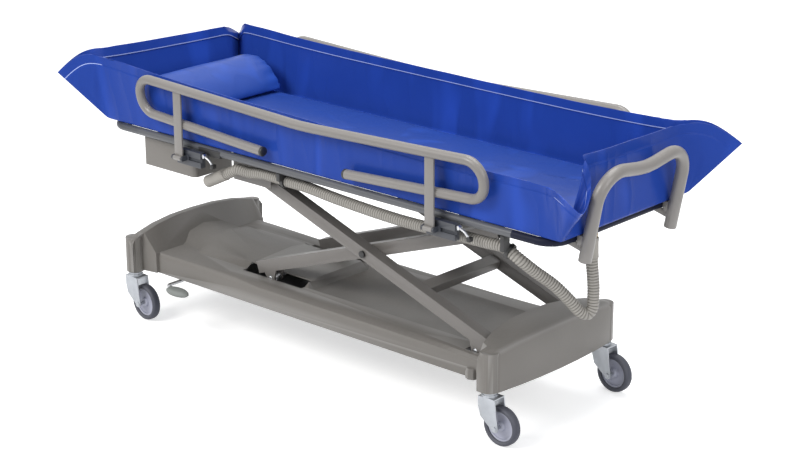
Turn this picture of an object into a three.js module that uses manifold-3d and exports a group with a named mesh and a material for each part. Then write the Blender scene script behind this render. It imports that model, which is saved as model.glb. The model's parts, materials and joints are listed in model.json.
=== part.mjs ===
// Height-adjustable shower trolley: four swivel casters, a covered base, a scissor lift, a bed frame with
// two fold-down side rails, a soft tub with corner spouts, a mattress, a pillow, an end hoop at each end
// and a ribbed drain hose. Lengths are in millimetres, Z points up, +X is the foot end, -Y is the near side,
// and the origin is on the floor under the middle of the bed.

import * as THREE from "three";
import Module from "manifold-3d";
import { mergeVertices } from "three/addons/utils/BufferGeometryUtils.js";

const wasm = await Module();
wasm.setup();

// Clearances
const touch = 0.3;
const overrun = 5;
const weld = 0.001;
const near = -1;
const far = 1;
const head = -1;
const foot = 1;

// Bed frame tubes and the platform that the tub lies on
const frame_tube_r = 13;
const frame_tube_wall = 2.5;
const frame_tube_sides = 8;
const frame_tube_z = 676;
const side_tube_y = 300;
const end_tube_x = 924;
const frame_corner_r = 60;
const bow_joint_x = 780;
const platform_half_y = 284;

// Scissor lift: pivots, arms, rollers and bolts
const foot_pivot_x = 566;
const roller_x = -336;
const base_pivot_z = 240;
const bed_pivot_z = 636;
const arm_w = 40;
const arm_wall = 3;
const arm_gap = 4;
const outer_arm_y = 188;
const arm_over = 30;
const inner_arm_low_over = 49;
const lug_reach = 40.4;
const lug_t = 7;
const lug_r = 17;
const lug_foot_w = 30;
const lug_root = 6;
const axle_r = 8;
const axle_over = 3;
const roller_r = 18;
const roller_w = 22;
const bolt_r = 8;
const bolt_head_r = 11;
const bolt_head_h = 7;
const arm_tie_place = 225;
const arm_tie_w = 40;
const arm_tie_h = 30;

// Long members of the bed frame and the guards beside the upper rollers
const long_w = 40;
const long_h = 30;
const long_wall = 3;
const long_head_x = -720;
const long_foot_x = 700;
const guard_head_x = -430;
const guard_foot_x = -262;
const guard_out = 18;
const guard_t = 4;
const guard_drop = 84;

// Cross members with the rail brackets
const post_head_x = -546;
const post_foot_x = 513;
const cross_w = 36;
const cross_h = 18;
const saddle_w = 20;
const cross_lug_r = 15;
const cross_lug_t = 9;
const cross_lug_gap = 2;
const bracket_y = 316;
const bracket_t = 22;
const bracket_z = 622;
const bracket_h = 50;
const bracket_back = 24;
const bracket_run = 85;
const slit_z = 640;
const slit_h = 12;
const slit_depth = 8;

// Side rails, their flat posts and hinges
const rail_r = 15;
const rail_wall = 2.5;
const rail_low_y = 332;
const rail_top_y = 350;
const rail_head_x = -731;
const rail_foot_x = 706;
const rail_loop_h = 117;
const rail_stub_head_x = -188;
const rail_stub_foot_x = 170;
const rail_stub_drop = 29;
const rail_top_z = 879;
const rail_dip = 27;
const rail_bend_r = 57;
const post_w = 35;
const post_t = 8;
const post_low_z = 638;
const rail_hinge_y = 356;
const rail_hinge_z = 646;
const barrel_r = 8;
const hinge_pin_r = 4;
const ear_t = 6;
const ear_gap = 0.5;

// Rail latches
const latch_boss_r = 7;
const latch_boss_w = 14;
const latch_z = 663;
const latch_rod_r = 4;
const latch_run = 22;
const latch_drop = 10;
const latch_tip_run = 18;
const latch_tip_drop = 18;

// Hoops at the two ends
const hoop_r = 19;
const hoop_wall = 3;
const hoop_leg_y = 210;
const hoop_out = 38;
const hoop_lean_share = 0.1984;
const hoop_foot_low_z = 606;
const hoop_head_low_z = 642;
const hoop_top_z = 858;
const hoop_dip = 10;
const hoop_bend_r = 70;
const hoop_plate_w = 24;
const hoop_plate_h = 30;

// Tub of sheet vinyl with a spout at each corner
const liner_t = 3;
const liner_floor_out = 28;
const liner_floor_y = 302;
const liner_corner_r = 14;
const liner_rim_z = 891;
const liner_rim_y = 320;
const liner_rim_head_out = 62;
const liner_rim_foot_out = 12;
const liner_rim_rise = 14;
const flap_set_back = 30;
const flap_tip_out = 143;
const flap_tip_y = 417;
const flap_tip_z = 837;
const flap_sag = 6;
const crease_back = 25;
const slump_shares = [[-0.16, -0.06, 0.78], [0.29, -0.29, 0.7], [0.46, -0.13, 0.515],
  [0.21, 0.29, 0.5], [-0.01, 0.55, 0.945]];

// Mattress and pillow
const mattress_head_out = 1;
const mattress_foot_in = 19;
const mattress_half_y = 262;
const mattress_edge_h = 20;
const mattress_crown = 5;
const mattress_corner_r = 40;
const mattress_draw = 6;
const pillow_head_in = 19;
const pillow_w = 215;
const pillow_half_y = 253;
const pillow_flat_y = 174;
const pillow_h = 117;
const pillow_section_shares = [[0.06, 0], [0, 0.14], [0.015, 0.42], [0.09, 0.72], [0.22, 0.92], [0.38, 1],
  [0.56, 0.98], [0.73, 0.83], [0.88, 0.56], [0.975, 0.28], [1, 0.1], [0.95, 0]];
const pillow_end_shares = [[1, 0.34], [0.94, 0.6], [0.8, 0.8], [0.5, 0.94], [0, 1]];

// Control box under the head end
const box_head_x = -797;
const box_foot_x = -549;
const box_step_x = -625;
const box_near_y = -283;
const box_far_y = -111;
const box_low_z = 561;
const box_step_z = 628;
const box_corner_r = 17;

// Drain: outlet, cuff, hose and clips
const outlet_in = 30;
const outlet_y = -84;
const outlet_r = 15;
const outlet_low_z = 618;
const cuff_r = 19;
const cuff_low_z = 578;
const cuff_top_z = 640;
const hose_r = 18;
const hose_valley_r = 15.5;
const hose_bore_r = 12;
const hose_rib_count = 80;
const hose_bore_rib_count = 5;
const hose_side_count = 8;
const end_cuff_r = 20;
const end_cuff_len = 94;
const clip_band_t = 4;
const clip_w = 12;
const clip_clear = 0.8;
const clip_hook_w = 14;
const clip_hook_t = 14;
const clip_places = [-146, 745];
const hose_tip = new THREE.Vector3(-490, -282, 562);
const hose_end_way = new THREE.Vector3(-404, -280, 604);
const hose_points = [[896, -82, 530], [898, -79, 485], [898, -79, 452], [897, -81, 426], [890, -91, 407],
  [877, -111, 416], [859, -139, 454], [832, -177, 503], [799, -226, 551], [771, -263, 592], [730, -272, 617],
  [660, -275, 618], [526, -276, 616], [332, -276, 612], [88, -276, 622], [-60, -273, 632], [-146, -272, 633],
  [-200, -272, 635], [-251, -272, 634], [-305, -274, 627]];

// Casters
const caster_head_x = -877;
const caster_foot_x = 677;
const caster_y = 272;
const wheel_r = 61;
const wheel_sides = 18;
const tyre_w = 30;
const tyre_t = 14;
const tread_w = 18;
const tread_round = 4.5;
const hub_sides = 12;
const hub_w = 34;
const hub_rim_w = 24;
const hub_web_w = 10;
const hub_boss_r = 14;
const hub_rim_t = 8;
const caster_axle_r = 6;
const caster_trail = 38;
const fork_back = 24;
const fork_front = 36;
const fork_half_w = 24;
const fork_t = 4;
const fork_top_z = 152;
const fork_back_z = 120;
const fork_eye_r = 12;
const fork_heel_x = 15;
const fork_heel_z = 90;
const fork_toe_x = 28;
const fork_toe_z = 56;
const swivel_r = 25;
const swivel_h = 12;
const swivel_round = 3;
const stem_r = 11;
const stem_h = 60;
const axle_nut_r = 9;
const axle_nut_h = 4;
const caster_yaws = { near_head: -4, far_head: -5, near_foot: 1, far_foot: -2 };

// Base cover, a moulded shell
const cover_wall = 4;
const skirt_half = 238;
const skirt_low_z = 168;
const strip_z = 239;
const shoulder_h = 26;
const waist_depth = 34;
const edge_w = 10;
const centre_outer_y = 150;
const centre_inner_y = 126;
const plateau_h = 15;
const trough_h = 11;
const hump_half = 110;
const hump_h = 42;
const deck_head_x = -862;
const deck_foot_x = 650;
const deck_places = [-862, -720, -690, -480, -330, -200, -178, 0, 180, 330, 490, 512, 650];
const waist_shares = [0, 0.08, 0.12, 0.52, 0.8, 0.95, 0.97, 1, 0.97, 0.84, 0.5, 0.42, 0];
const centre_shares = [0, 0, 1, 1, 1, 1, -1, -1, -1, -1, -1, 0, 0];
const hump_shares = [1, 0.85, 0.75, 0, 0, 0, 0, 0, 0, 0, 0, 0, 0];
const hump_width_shares = [1, 0.66, 0];
const hump_height_shares = [0.15, 0.75, 1];
const fin_outer_x = 884;
const fin_bow = 21;
const fin_end_y = 300;
const fin_step_foot_x = 853;
const fin_low_z = 170;
const fin_top_z = 285;
const fin_arch = 37;
const fin_crest_w = 40;
const fin_foot_x = 795;
const fin_round = 16;
const end_place_shares = [1, 0.975, 0.94, 0.865, 0.83, 0.6, 0.3, 0];
const end_draw_shares = [1, 0.42, 0.14, 0, 0, 0, 0, 0];
const end_step_shares = [1, 1, 1, 1, 0, 0, 0, 0];
const foot_inner_shares = [0, 0, 0, 0, 0, 0.55, 0.92, 1];
const end_draw = 17;
const end_arch_power = 2.6;
const foot_outer_x = 702;
const foot_bow = 22;
const foot_low_z = 165;
const foot_top_z = 287;
const foot_arch = 26;
const foot_inner_x = 632;
const foot_inner_bow = 42;
const foot_slope_w = 22;
const foot_step_x = 650;
const foot_round = 16;
const column_r = 29;
const column_low_z = 167.5;
const column_top_z = 287;
const boss_x = 578;
const boss_r = 22;
const boss_low_z = 167;
const boss_top_z = 204;
const boss_sink = 6;
const arm_slot_head_x = -462;
const arm_slot_foot_x = -196;
const arm_slot_gap = 4;
const lug_slot_head_x = 530;
const lug_slot_foot_x = 628;
const lug_slot_top_z = 298.5;
const lug_slot_out = 212;
const lug_slot_in = 146;
const shaft_groove = 0.6;

// Chassis inside the cover, lift cylinder, pump and pedal
const beam_w = 52;
const beam_h = 40;
const beam_low_z = 190;
const beam_set_back = 34;
const beam_half_y = 240;
const beam_arm_w = 12;
const socket_r = 16;
const socket_low_z = 170;
const chassis_w = 30;
const chassis_lug_t = 12;
const chassis_lug_in = 150;
const cylinder_r = 23;
const cylinder_z = 223;
const cylinder_foot_x = -470;
const cylinder_end_wall = 16;
const rod_r = 12.5;
const rod_head_x = -720;
const saddle_x = 18;
const saddle_y = 20;
const saddle_low_z = 222;
const saddle_top_z = 246;
const pump_head_x = -716;
const pump_foot_x = -610;
const pump_near_y = -110;
const pump_top_z = 234;
const pedal_rod_r = 6;
const pedal_hinge_y = -80;
const pedal_hub_r = 8;
const pedal_hub_w = 26;
const pedal_rod_x = -698;
const pedal_reach_y = -286;
const pedal_low_z = 160;
const pedal_bend_r = 14;
const pad_x = -640;
const pad_y = -298;
const pad_z = 155;
const pad_half_l = 50;
const pad_half_w = 23;
const pad_h = 22;
const pad_over = 12;

// Values worked out from the sizes above
const hoop_low_x = end_tube_x + hoop_out;
const hoop_top_x = hoop_low_x + hoop_lean_share * (hoop_top_z - hoop_foot_low_z);
const liner_floor_x = end_tube_x + liner_floor_out;
const liner_rim_head_x = end_tube_x + liner_rim_head_out;
const liner_rim_foot_x = end_tube_x + liner_rim_foot_out;
const flap_tip_x = end_tube_x + flap_tip_out;
const mattress_head_x = -end_tube_x - mattress_head_out;
const mattress_foot_x = end_tube_x - mattress_foot_in;
const pillow_head_x = -end_tube_x + pillow_head_in;
const pillow_foot_x = pillow_head_x + pillow_w;
const outlet_x = end_tube_x - outlet_in;
const rail_low_z = rail_top_z - rail_loop_h;
const roller_track_z = bed_pivot_z + roller_r + touch;
const long_top_z = roller_track_z + long_h;
const frame_flat_r = frame_tube_r * Math.cos(Math.PI / frame_tube_sides);
const frame_top_z = frame_tube_z + frame_flat_r;
const frame_low_z = frame_tube_z - frame_flat_r;
const platform_z = long_top_z + touch;
const liner_z = frame_top_z + touch;
const mattress_z = liner_z + liner_t + touch;
const pillow_z = mattress_z + mattress_edge_h + mattress_crown + touch;
const cross_top_z = roller_track_z - touch;
const inner_arm_y = outer_arm_y - arm_w - arm_gap;
const arm_half = arm_w / 2;
const cross_x = (foot_pivot_x + roller_x) / 2;
const cross_z = (base_pivot_z + bed_pivot_z) / 2;
const pivot_half = Math.hypot(foot_pivot_x - roller_x, bed_pivot_z - base_pivot_z) / 2;
const pivot_s = Math.sqrt(pivot_half * pivot_half - lug_reach * lug_reach);
const line_tilt = Math.atan2(bed_pivot_z - base_pivot_z, foot_pivot_x - roller_x);
const arm_tilt = line_tilt - Math.asin(lug_reach / pivot_half);
const chassis_top_z = base_pivot_z - roller_r - touch;
const column_ceiling_z = column_top_z - cover_wall;

// Colours
const paint_grey = { color: 0x96917f, roughness: 0.45, metalness: 0.1 };
const frame_blue = { color: 0x4a5360, roughness: 0.5, metalness: 0.1 };
const cover_grey = { color: 0x827d73, roughness: 0.6, metalness: 0 };
const steel_dark = { color: 0x55565a, roughness: 0.5, metalness: 0.6 };
const steel_bright = { color: 0xb4b8c0, roughness: 0.3, metalness: 0.9 };
const fork_zinc = { color: 0xa6acb8, roughness: 0.35, metalness: 0.85 };
const hub_grey = { color: 0x9696aa, roughness: 0.5, metalness: 0 };
const tyre_grey = { color: 0x3c3e4b, roughness: 0.8, metalness: 0 };
const black_plastic = { color: 0x1c1c1e, roughness: 0.5, metalness: 0 };
const hose_grey = { color: 0xbeb9aa, roughness: 0.6, metalness: 0 };
const liner_blue = { color: 0x2d4ba5, roughness: 0.3, metalness: 0 };
const cushion_blue = { color: 0x2f52b4, roughness: 0.35, metalness: 0 };
const pedal_grey = { color: 0x969b96, roughness: 0.6, metalness: 0 };

const trolley = new THREE.Group();

function add(name, geometry, look, group = trolley) {
  const mesh = new THREE.Mesh(geometry, new THREE.MeshStandardMaterial(look));
  mesh.name = name;
  group.add(mesh);
  return mesh;
}

// Closed geometry to a solid body, and back
function solid(geometry) {
  const bare = new THREE.BufferGeometry();
  bare.setAttribute("position", geometry.getAttribute("position"));
  bare.setIndex(geometry.getIndex());
  const merged = mergeVertices(bare, weld);
  const index = merged.getIndex().array;
  const kept = [];
  for (let i = 0; i < index.length; i += 3) {
    const [a, b, c] = [index[i], index[i + 1], index[i + 2]];
    if (a !== b && b !== c && c !== a) kept.push(a, b, c);
  }
  return new wasm.Manifold(new wasm.Mesh({
    numProp: 3,
    vertProperties: new Float32Array(merged.getAttribute("position").array),
    triVerts: new Uint32Array(kept),
  }));
}

function shaped(body) {
  const mesh = body.getMesh();
  const geometry = new THREE.BufferGeometry();
  geometry.setAttribute("position", new THREE.BufferAttribute(new Float32Array(mesh.vertProperties), 3));
  geometry.setIndex(new THREE.BufferAttribute(new Uint32Array(mesh.triVerts), 1));
  geometry.computeVertexNormals();
  return geometry;
}

function joined(...geometries) {
  return geometries.map(solid).reduce((all, next) => all.add(next));
}

// Radius of a faceted hole that a round pin can turn in
const around = (pin_r, sides) => (pin_r + touch) / Math.cos(Math.PI / sides);

function cut(body, ...geometries) {
  return geometries.map(solid).reduce((rest, next) => rest.subtract(next), body);
}

// Blocks and round bars along the three axes
function block(x0, x1, y0, y1, z0, z1) {
  const geometry = new THREE.BoxGeometry(Math.abs(x1 - x0), Math.abs(y1 - y0), Math.abs(z1 - z0));
  geometry.translate((x0 + x1) / 2, (y0 + y1) / 2, (z0 + z1) / 2);
  return geometry;
}

function barX(y, z, r, x0, x1, sides = 12) {
  const geometry = new THREE.CylinderGeometry(r, r, Math.abs(x1 - x0), sides);
  geometry.rotateZ(Math.PI / 2);
  geometry.translate((x0 + x1) / 2, y, z);
  return geometry;
}

function barY(x, z, r, y0, y1, sides = 12) {
  const geometry = new THREE.CylinderGeometry(r, r, Math.abs(y1 - y0), sides);
  geometry.translate(x, (y0 + y1) / 2, z);
  return geometry;
}

function barZ(x, y, r, z0, z1, sides = 12) {
  const geometry = new THREE.CylinderGeometry(r, r, Math.abs(z1 - z0), sides);
  geometry.rotateX(Math.PI / 2);
  geometry.translate(x, y, (z0 + z1) / 2);
  return geometry;
}

// Flat plate with an outline of [x, z] points, between two Y places
function plateY(points, y0, y1) {
  const shape = new THREE.Shape(points.map(([x, z]) => new THREE.Vector2(x, z)));
  const depth = Math.abs(y1 - y0);
  const geometry = new THREE.ExtrudeGeometry(shape, { depth, bevelEnabled: false });
  geometry.rotateX(Math.PI / 2);
  geometry.translate(0, Math.max(y0, y1), 0);
  return geometry;
}

// Upright block with rounded vertical edges
function pillar(x0, x1, y0, y1, z0, z1, r, corner_steps = 4) {
  const shape = new THREE.Shape();
  shape.absarc(x1 - r, y1 - r, r, 0, Math.PI / 2);
  shape.absarc(x0 + r, y1 - r, r, Math.PI / 2, Math.PI);
  shape.absarc(x0 + r, y0 + r, r, Math.PI, Math.PI * 1.5);
  shape.absarc(x1 - r, y0 + r, r, Math.PI * 1.5, Math.PI * 2);
  const options = { depth: z1 - z0, bevelEnabled: false, curveSegments: corner_steps };
  const geometry = new THREE.ExtrudeGeometry(shape, options);
  geometry.translate(0, 0, z0);
  return geometry;
}

// Skin through rings of equal point counts, closed at both ends round a middle point
function loft(rings) {
  const count = rings[0].length;
  const places = [];
  const index = [];
  for (const ring of rings) {
    for (const point of ring) places.push(...point);
  }
  for (let k = 0; k < rings.length - 1; k += 1) {
    for (let i = 0; i < count; i += 1) {
      const j = (i + 1) % count;
      const a = k * count + i;
      const b = k * count + j;
      index.push(a, b, b + count, a, b + count, a + count);
    }
  }
  for (const [ring, start, turned] of [[rings[0], 0, true],
    [rings[rings.length - 1], (rings.length - 1) * count, false]]) {
    const middle = [0, 1, 2].map((axis) => ring.reduce((sum, p) => sum + p[axis], 0) / count);
    const centre = places.length / 3;
    places.push(...middle);
    for (let i = 0; i < count; i += 1) {
      const j = (i + 1) % count;
      if (turned) index.push(centre, start + j, start + i);
      else index.push(centre, start + i, start + j);
    }
  }
  const geometry = new THREE.BufferGeometry();
  geometry.setAttribute("position", new THREE.Float32BufferAttribute(places, 3));
  geometry.setIndex(index);
  return faceOut(geometry);
}

// Turns all faces round when the enclosed volume reads negative
function faceOut(geometry) {
  const place = geometry.getAttribute("position");
  const index = geometry.getIndex().array;
  const [a, b, c] = [new THREE.Vector3(), new THREE.Vector3(), new THREE.Vector3()];
  let volume = 0;
  for (let i = 0; i < index.length; i += 3) {
    a.fromBufferAttribute(place, index[i]);
    b.fromBufferAttribute(place, index[i + 1]);
    c.fromBufferAttribute(place, index[i + 2]);
    volume += a.dot(b.cross(c));
  }
  if (volume < 0) {
    const turned = Array.from(index);
    for (let i = 0; i < turned.length; i += 3) {
      [turned[i + 1], turned[i + 2]] = [turned[i + 2], turned[i + 1]];
    }
    geometry.setIndex(turned);
  }
  geometry.computeVertexNormals();
  return geometry;
}

// Route of straight runs with round bends at the corner points
class BentRoute extends THREE.Curve {
  constructor(corners, bend_r, step_angle = Math.PI / 6) {
    super();
    const points = corners.map(([x, y, z]) => new THREE.Vector3(x, y, z));
    this.knots = [points[0]];
    this.ways = [points[1].clone().sub(points[0]).normalize()];
    for (let i = 1; i < points.length - 1; i += 1) {
      const before = points[i].clone().sub(points[i - 1]).normalize();
      const after = points[i + 1].clone().sub(points[i]).normalize();
      const angle = before.angleTo(after);
      const r = Array.isArray(bend_r) ? bend_r[i - 1] : bend_r;
      const reach = r * Math.tan(angle / 2);
      const inward = after.clone().sub(before).normalize();
      const centre = points[i].clone().addScaledVector(inward, r / Math.cos(angle / 2));
      const steps = Math.max(1, Math.ceil(angle / step_angle));
      const start = points[i].clone().addScaledVector(before, -reach).sub(centre);
      const side = before.clone();
      for (let k = 0; k <= steps; k += 1) {
        const turn = (angle * k) / steps;
        const spoke = start.clone().multiplyScalar(Math.cos(turn)).addScaledVector(side, r * Math.sin(turn));
        this.knots.push(centre.clone().add(spoke));
        const way = side.clone().multiplyScalar(Math.cos(turn)).addScaledVector(start, -Math.sin(turn) / r);
        this.ways.push(way.normalize());
      }
    }
    this.knots.push(points[points.length - 1]);
    this.ways.push(points[points.length - 1].clone().sub(points[points.length - 2]).normalize());
  }

  at(u) {
    return Math.round(u * (this.knots.length - 1));
  }

  getPointAt(u, target = new THREE.Vector3()) {
    return target.copy(this.knots[this.at(u)]);
  }

  getTangentAt(u, target = new THREE.Vector3()) {
    return target.copy(this.ways[this.at(u)]);
  }
}

function ringOutline(r, sides) {
  return Array.from({ length: sides }, (none, i) => {
    const turn = (2 * Math.PI * (i + 0.5)) / sides;
    return new THREE.Vector2(r * Math.cos(turn), r * Math.sin(turn));
  });
}

// Round tube or bar along a route
function pipe(route, r, wall = 0, sides = 12, bore_sides = 6) {
  const shape = new THREE.Shape(ringOutline(r, sides));
  if (wall > 0) shape.holes.push(new THREE.Path(ringOutline(r - wall, bore_sides)));
  return new THREE.ExtrudeGeometry(shape, { steps: route.knots.length - 1, extrudePath: route });
}

// Body of revolution about the Y axis
function turned(profile, sides, start = 0) {
  const points = profile.map(([r, y]) => new THREE.Vector2(r, y));
  points.push(points[0].clone());
  return faceOut(closedLathe(points, sides, start));
}

function closedLathe(points, sides, start) {
  const lathe = new THREE.LatheGeometry(points, sides, start, 2 * Math.PI);
  const bare = new THREE.BufferGeometry();
  bare.setAttribute("position", lathe.getAttribute("position"));
  bare.setIndex(lathe.getIndex());
  const merged = mergeVertices(bare, weld);
  const index = merged.getIndex().array;
  const kept = [];
  for (let i = 0; i < index.length; i += 3) {
    const [a, b, c] = [index[i], index[i + 1], index[i + 2]];
    if (a !== b && b !== c && c !== a) kept.push(a, b, c);
  }
  merged.setIndex(kept);
  return merged;
}

const mix = (a, b, t) => a + (b - a) * t;
const bow = (share) => 1 - share * share;

// Base cover: the deck is a skin through cross sections along X
function deckRing(i, inset) {
  const x = deck_places[i];
  const half = skirt_half - inset;
  const top = strip_z - inset;
  const flat_half = skirt_half - edge_w - waist_depth * waist_shares[i];
  const round_w = half - (flat_half - inset);
  const low = inset > 0 ? skirt_low_z - overrun : skirt_low_z;
  const share = centre_shares[i];
  const centre = top + (share > 0 ? plateau_h : trough_h) * share;
  const rise = hump_h * hump_shares[i];
  const side = [[half, low]];
  for (const turn of inset > 0 ? [0, 90] : [0, 35, 65, 90]) {
    const angle = THREE.MathUtils.degToRad(turn);
    side.push([half - round_w * (1 - Math.cos(angle)), top - shoulder_h * (1 - Math.sin(angle))]);
  }
  side.push([centre_outer_y, top]);
  side.push([centre_inner_y, centre]);
  hump_width_shares.forEach((width, k) => {
    side.push([hump_half * width, centre + rise * hump_height_shares[k]]);
  });
  const ring = side.map(([y, z]) => [x, y, z]);
  const other = side.slice(0, -1).reverse().map(([y, z]) => [x, -y, z]);
  return ring.concat(other);
}

function deckSkin(inset) {
  return loft(deck_places.map((x, i) => {
    const ring = deckRing(i, inset);
    if (inset > 0 && i === 0) return ring.map(([, y, z]) => [deck_head_x - overrun, y, z]);
    if (inset > 0 && i === deck_places.length - 1) return ring.map(([, y, z]) => [deck_foot_x + overrun, y, z]);
    return ring;
  }));
}

// End covers are skins through upright sections along Y
function endPlaces(inset) {
  const one_side = end_place_shares.map((share, i) => [share, end_draw_shares[i] * end_draw,
    foot_inner_shares[i], end_step_shares[i]]);
  const other_side = one_side.slice(0, -1).reverse().map(([share, ...rest]) => [-share, ...rest]);
  return one_side.concat(other_side).map(([share, draw, inner, step]) => [share, draw,
    share * (fin_end_y - inset), inner, step]);
}

const arch = (share) => 1 - Math.abs(share) ** end_arch_power;

function finSkin(inset) {
  return loft(endPlaces(inset).map(([share, draw, y, , step]) => {
    const outer = -(fin_outer_x + fin_bow * bow(share)) + inset + draw;
    const top = fin_top_z + fin_arch * arch(share) - inset - draw;
    const low = inset > 0 ? fin_low_z - overrun : fin_low_z;
    const slope_x = mix(-fin_foot_x, -fin_step_foot_x, step) - inset;
    const crest = Math.min(outer + fin_crest_w - 2 * inset - draw, slope_x - touch);
    return [[outer, y, low], [outer, y, top - fin_round], [outer + fin_round * 0.3, y, top - fin_round * 0.3],
      [outer + fin_round, y, top], [crest, y, top], [slope_x, y, strip_z - inset], [slope_x, y, low]];
  }));
}

function footSkin(inset) {
  return loft(endPlaces(inset).map(([share, draw, y, inner_share, step]) => {
    const outer = foot_outer_x + foot_bow * bow(share) - inset - draw;
    const top = foot_top_z + foot_arch * arch(share) - inset - draw;
    const low = inset > 0 ? foot_low_z - overrun : foot_low_z;
    const inner = foot_inner_x - foot_inner_bow * inner_share + inset;
    const slope_x = mix(inner - foot_slope_w, foot_step_x + inset, step);
    return [[outer, y, low], [outer, y, top - foot_round], [outer - foot_round * 0.3, y, top - foot_round * 0.3],
      [outer - foot_round, y, top], [mix(inner, slope_x + foot_round * 0.3, step), y, top], [slope_x, y, strip_z - inset], [slope_x, y, low]];
  }));
}

function eachCorner(call) {
  for (const x of [caster_head_x, caster_foot_x]) {
    for (const y of [-caster_y, caster_y]) call(x, y);
  }
}

function skirtBoss(side) {
  const height = boss_top_z - boss_low_z;
  const profile = [[0, 0], [boss_r, 0], [boss_r, height * 0.55], [boss_r * 0.8, height * 0.85], [0, height]];
  const points = profile.map(([r, z]) => new THREE.Vector2(r, z));
  const geometry = faceOut(closedLathe(points, 8, 0));
  geometry.rotateX(Math.PI / 2);
  geometry.translate(boss_x, side * (skirt_half - boss_sink), boss_low_z);
  return geometry;
}

function baseCover() {
  let shell = joined(deckSkin(0), finSkin(0), footSkin(0), skirtBoss(near), skirtBoss(far));
  eachCorner((x, y) => {
    shell = shell.add(solid(barZ(x, y, column_r, column_low_z, column_top_z)));
  });
  let inside = joined(deckSkin(cover_wall), finSkin(cover_wall), footSkin(cover_wall));
  eachCorner((x, y) => {
    inside = inside.add(solid(barZ(x, y, column_r - cover_wall, column_low_z - overrun, column_ceiling_z)));
  });
  shell = shell.subtract(inside);
  const slot_in = inner_arm_y - arm_half - arm_slot_gap;
  const slot_out = inner_arm_y + arm_half + arm_slot_gap;
  const slot_top = strip_z + plateau_h + overrun;
  for (const side of [near, far]) {
    shell = cut(shell, block(arm_slot_head_x, arm_slot_foot_x, side * slot_in, side * slot_out,
      skirt_low_z, slot_top));
    shell = cut(shell, block(lug_slot_head_x, lug_slot_foot_x, side * lug_slot_in, side * lug_slot_out,
      skirt_low_z, lug_slot_top_z));
  }
  const groove_y = lug_slot_out;
  shell = cut(shell, barY(foot_pivot_x, base_pivot_z, axle_r + shaft_groove, -groove_y, groove_y, 8));
  return shaped(shell);
}

add("base_cover", baseCover(), cover_grey);

// Chassis beams with the caster sockets, inside the cover
function chassisBeam(x, way) {
  const middle = x - way * beam_set_back;
  let beam = solid(block(middle - beam_w / 2, middle + beam_w / 2, -beam_half_y, beam_half_y,
    beam_low_z, beam_low_z + beam_h));
  for (const side of [near, far]) {
    beam = beam.add(solid(block(x, x - way * beam_arm_w, side * (beam_half_y - 2 * beam_arm_w), side * caster_y,
      beam_low_z, beam_low_z + beam_h)));
    beam = beam.add(solid(barZ(x, side * caster_y, socket_r, socket_low_z, column_ceiling_z - touch, 10)));
  }
  for (const side of [near, far]) {
    beam = cut(beam, barZ(x, side * caster_y, around(stem_r, 10), socket_low_z - overrun,
      fork_top_z + swivel_h + stem_h + overrun, 10));
  }
  return shaped(beam);
}

add("chassis_head_beam", chassisBeam(caster_head_x, head), steel_dark);
add("chassis_foot_beam", chassisBeam(caster_foot_x, foot), steel_dark);

const rail_start_x = caster_head_x + beam_set_back + beam_w / 2 + touch;
const rail_stop_x = caster_foot_x - beam_set_back - beam_w / 2 - touch;

function chassisRail(side) {
  const y = side * inner_arm_y;
  const bar = block(rail_start_x, rail_stop_x, y - chassis_w / 2, y + chassis_w / 2, beam_low_z, chassis_top_z);
  const lug_in = side * chassis_lug_in;
  const lug_out = side * (chassis_lug_in + chassis_lug_t);
  const lug = block(foot_pivot_x - lug_r, foot_pivot_x + lug_r, lug_in, lug_out, beam_low_z, base_pivot_z);
  const lug_round = barY(foot_pivot_x, base_pivot_z, lug_r, lug_in, lug_out);
  const hole = barY(foot_pivot_x, base_pivot_z, around(axle_r, 8), lug_in - side * overrun,
    lug_out + side * overrun, 8);
  return shaped(cut(joined(bar, lug, lug_round), hole));
}

add("chassis_rail_near", chassisRail(near), steel_dark);
add("chassis_rail_far", chassisRail(far), steel_dark);

const lug_out_y = outer_arm_y + arm_half;
add("base_pivot_shaft", barY(foot_pivot_x, base_pivot_z, axle_r, -lug_out_y, lug_out_y, 8), steel_bright);

// Lift cylinder with its rod, which pushes the lower roller axle
const cylinder_head_x = rail_start_x;
const bore_end_x = cylinder_head_x + cylinder_end_wall;
const cylinder = cut(solid(barX(0, cylinder_z, cylinder_r, cylinder_head_x, cylinder_foot_x)),
  barX(0, cylinder_z, rod_r + touch, bore_end_x, cylinder_foot_x + overrun));
add("lift_cylinder", shaped(cylinder), steel_dark);

const saddle_foot_x = roller_x - axle_r - touch;
const rod = joined(barX(0, cylinder_z, rod_r, rod_head_x, saddle_foot_x - saddle_x / 2),
  block(saddle_foot_x - saddle_x, saddle_foot_x, -saddle_y, saddle_y, saddle_low_z, saddle_top_z));
add("piston_rod", shaped(rod), steel_bright);

add("pump_unit", block(pump_head_x, pump_foot_x, pump_near_y, -cylinder_r - touch, beam_low_z, pump_top_z),
  steel_dark);

// Foot pedal on a bent lever under the pump
const pedal_hinge_z = beam_low_z - touch - pedal_hub_r;
const lever_route = new BentRoute([[pedal_rod_x, pedal_hinge_y, pedal_hinge_z],
  [pedal_rod_x, -skirt_half + pedal_bend_r, pedal_low_z], [pedal_rod_x, pedal_reach_y, pedal_low_z],
  [pad_x - pad_half_l + pad_over, pad_y + pedal_rod_r, pedal_low_z - touch]],
  [pedal_bend_r, pedal_rod_r * 1.5]);
const lever = joined(pipe(lever_route, pedal_rod_r, 0, 8),
  barX(pedal_hinge_y, pedal_hinge_z, pedal_hub_r, pedal_rod_x - pedal_hub_w / 2, pedal_rod_x + pedal_hub_w / 2, 16));

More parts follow.
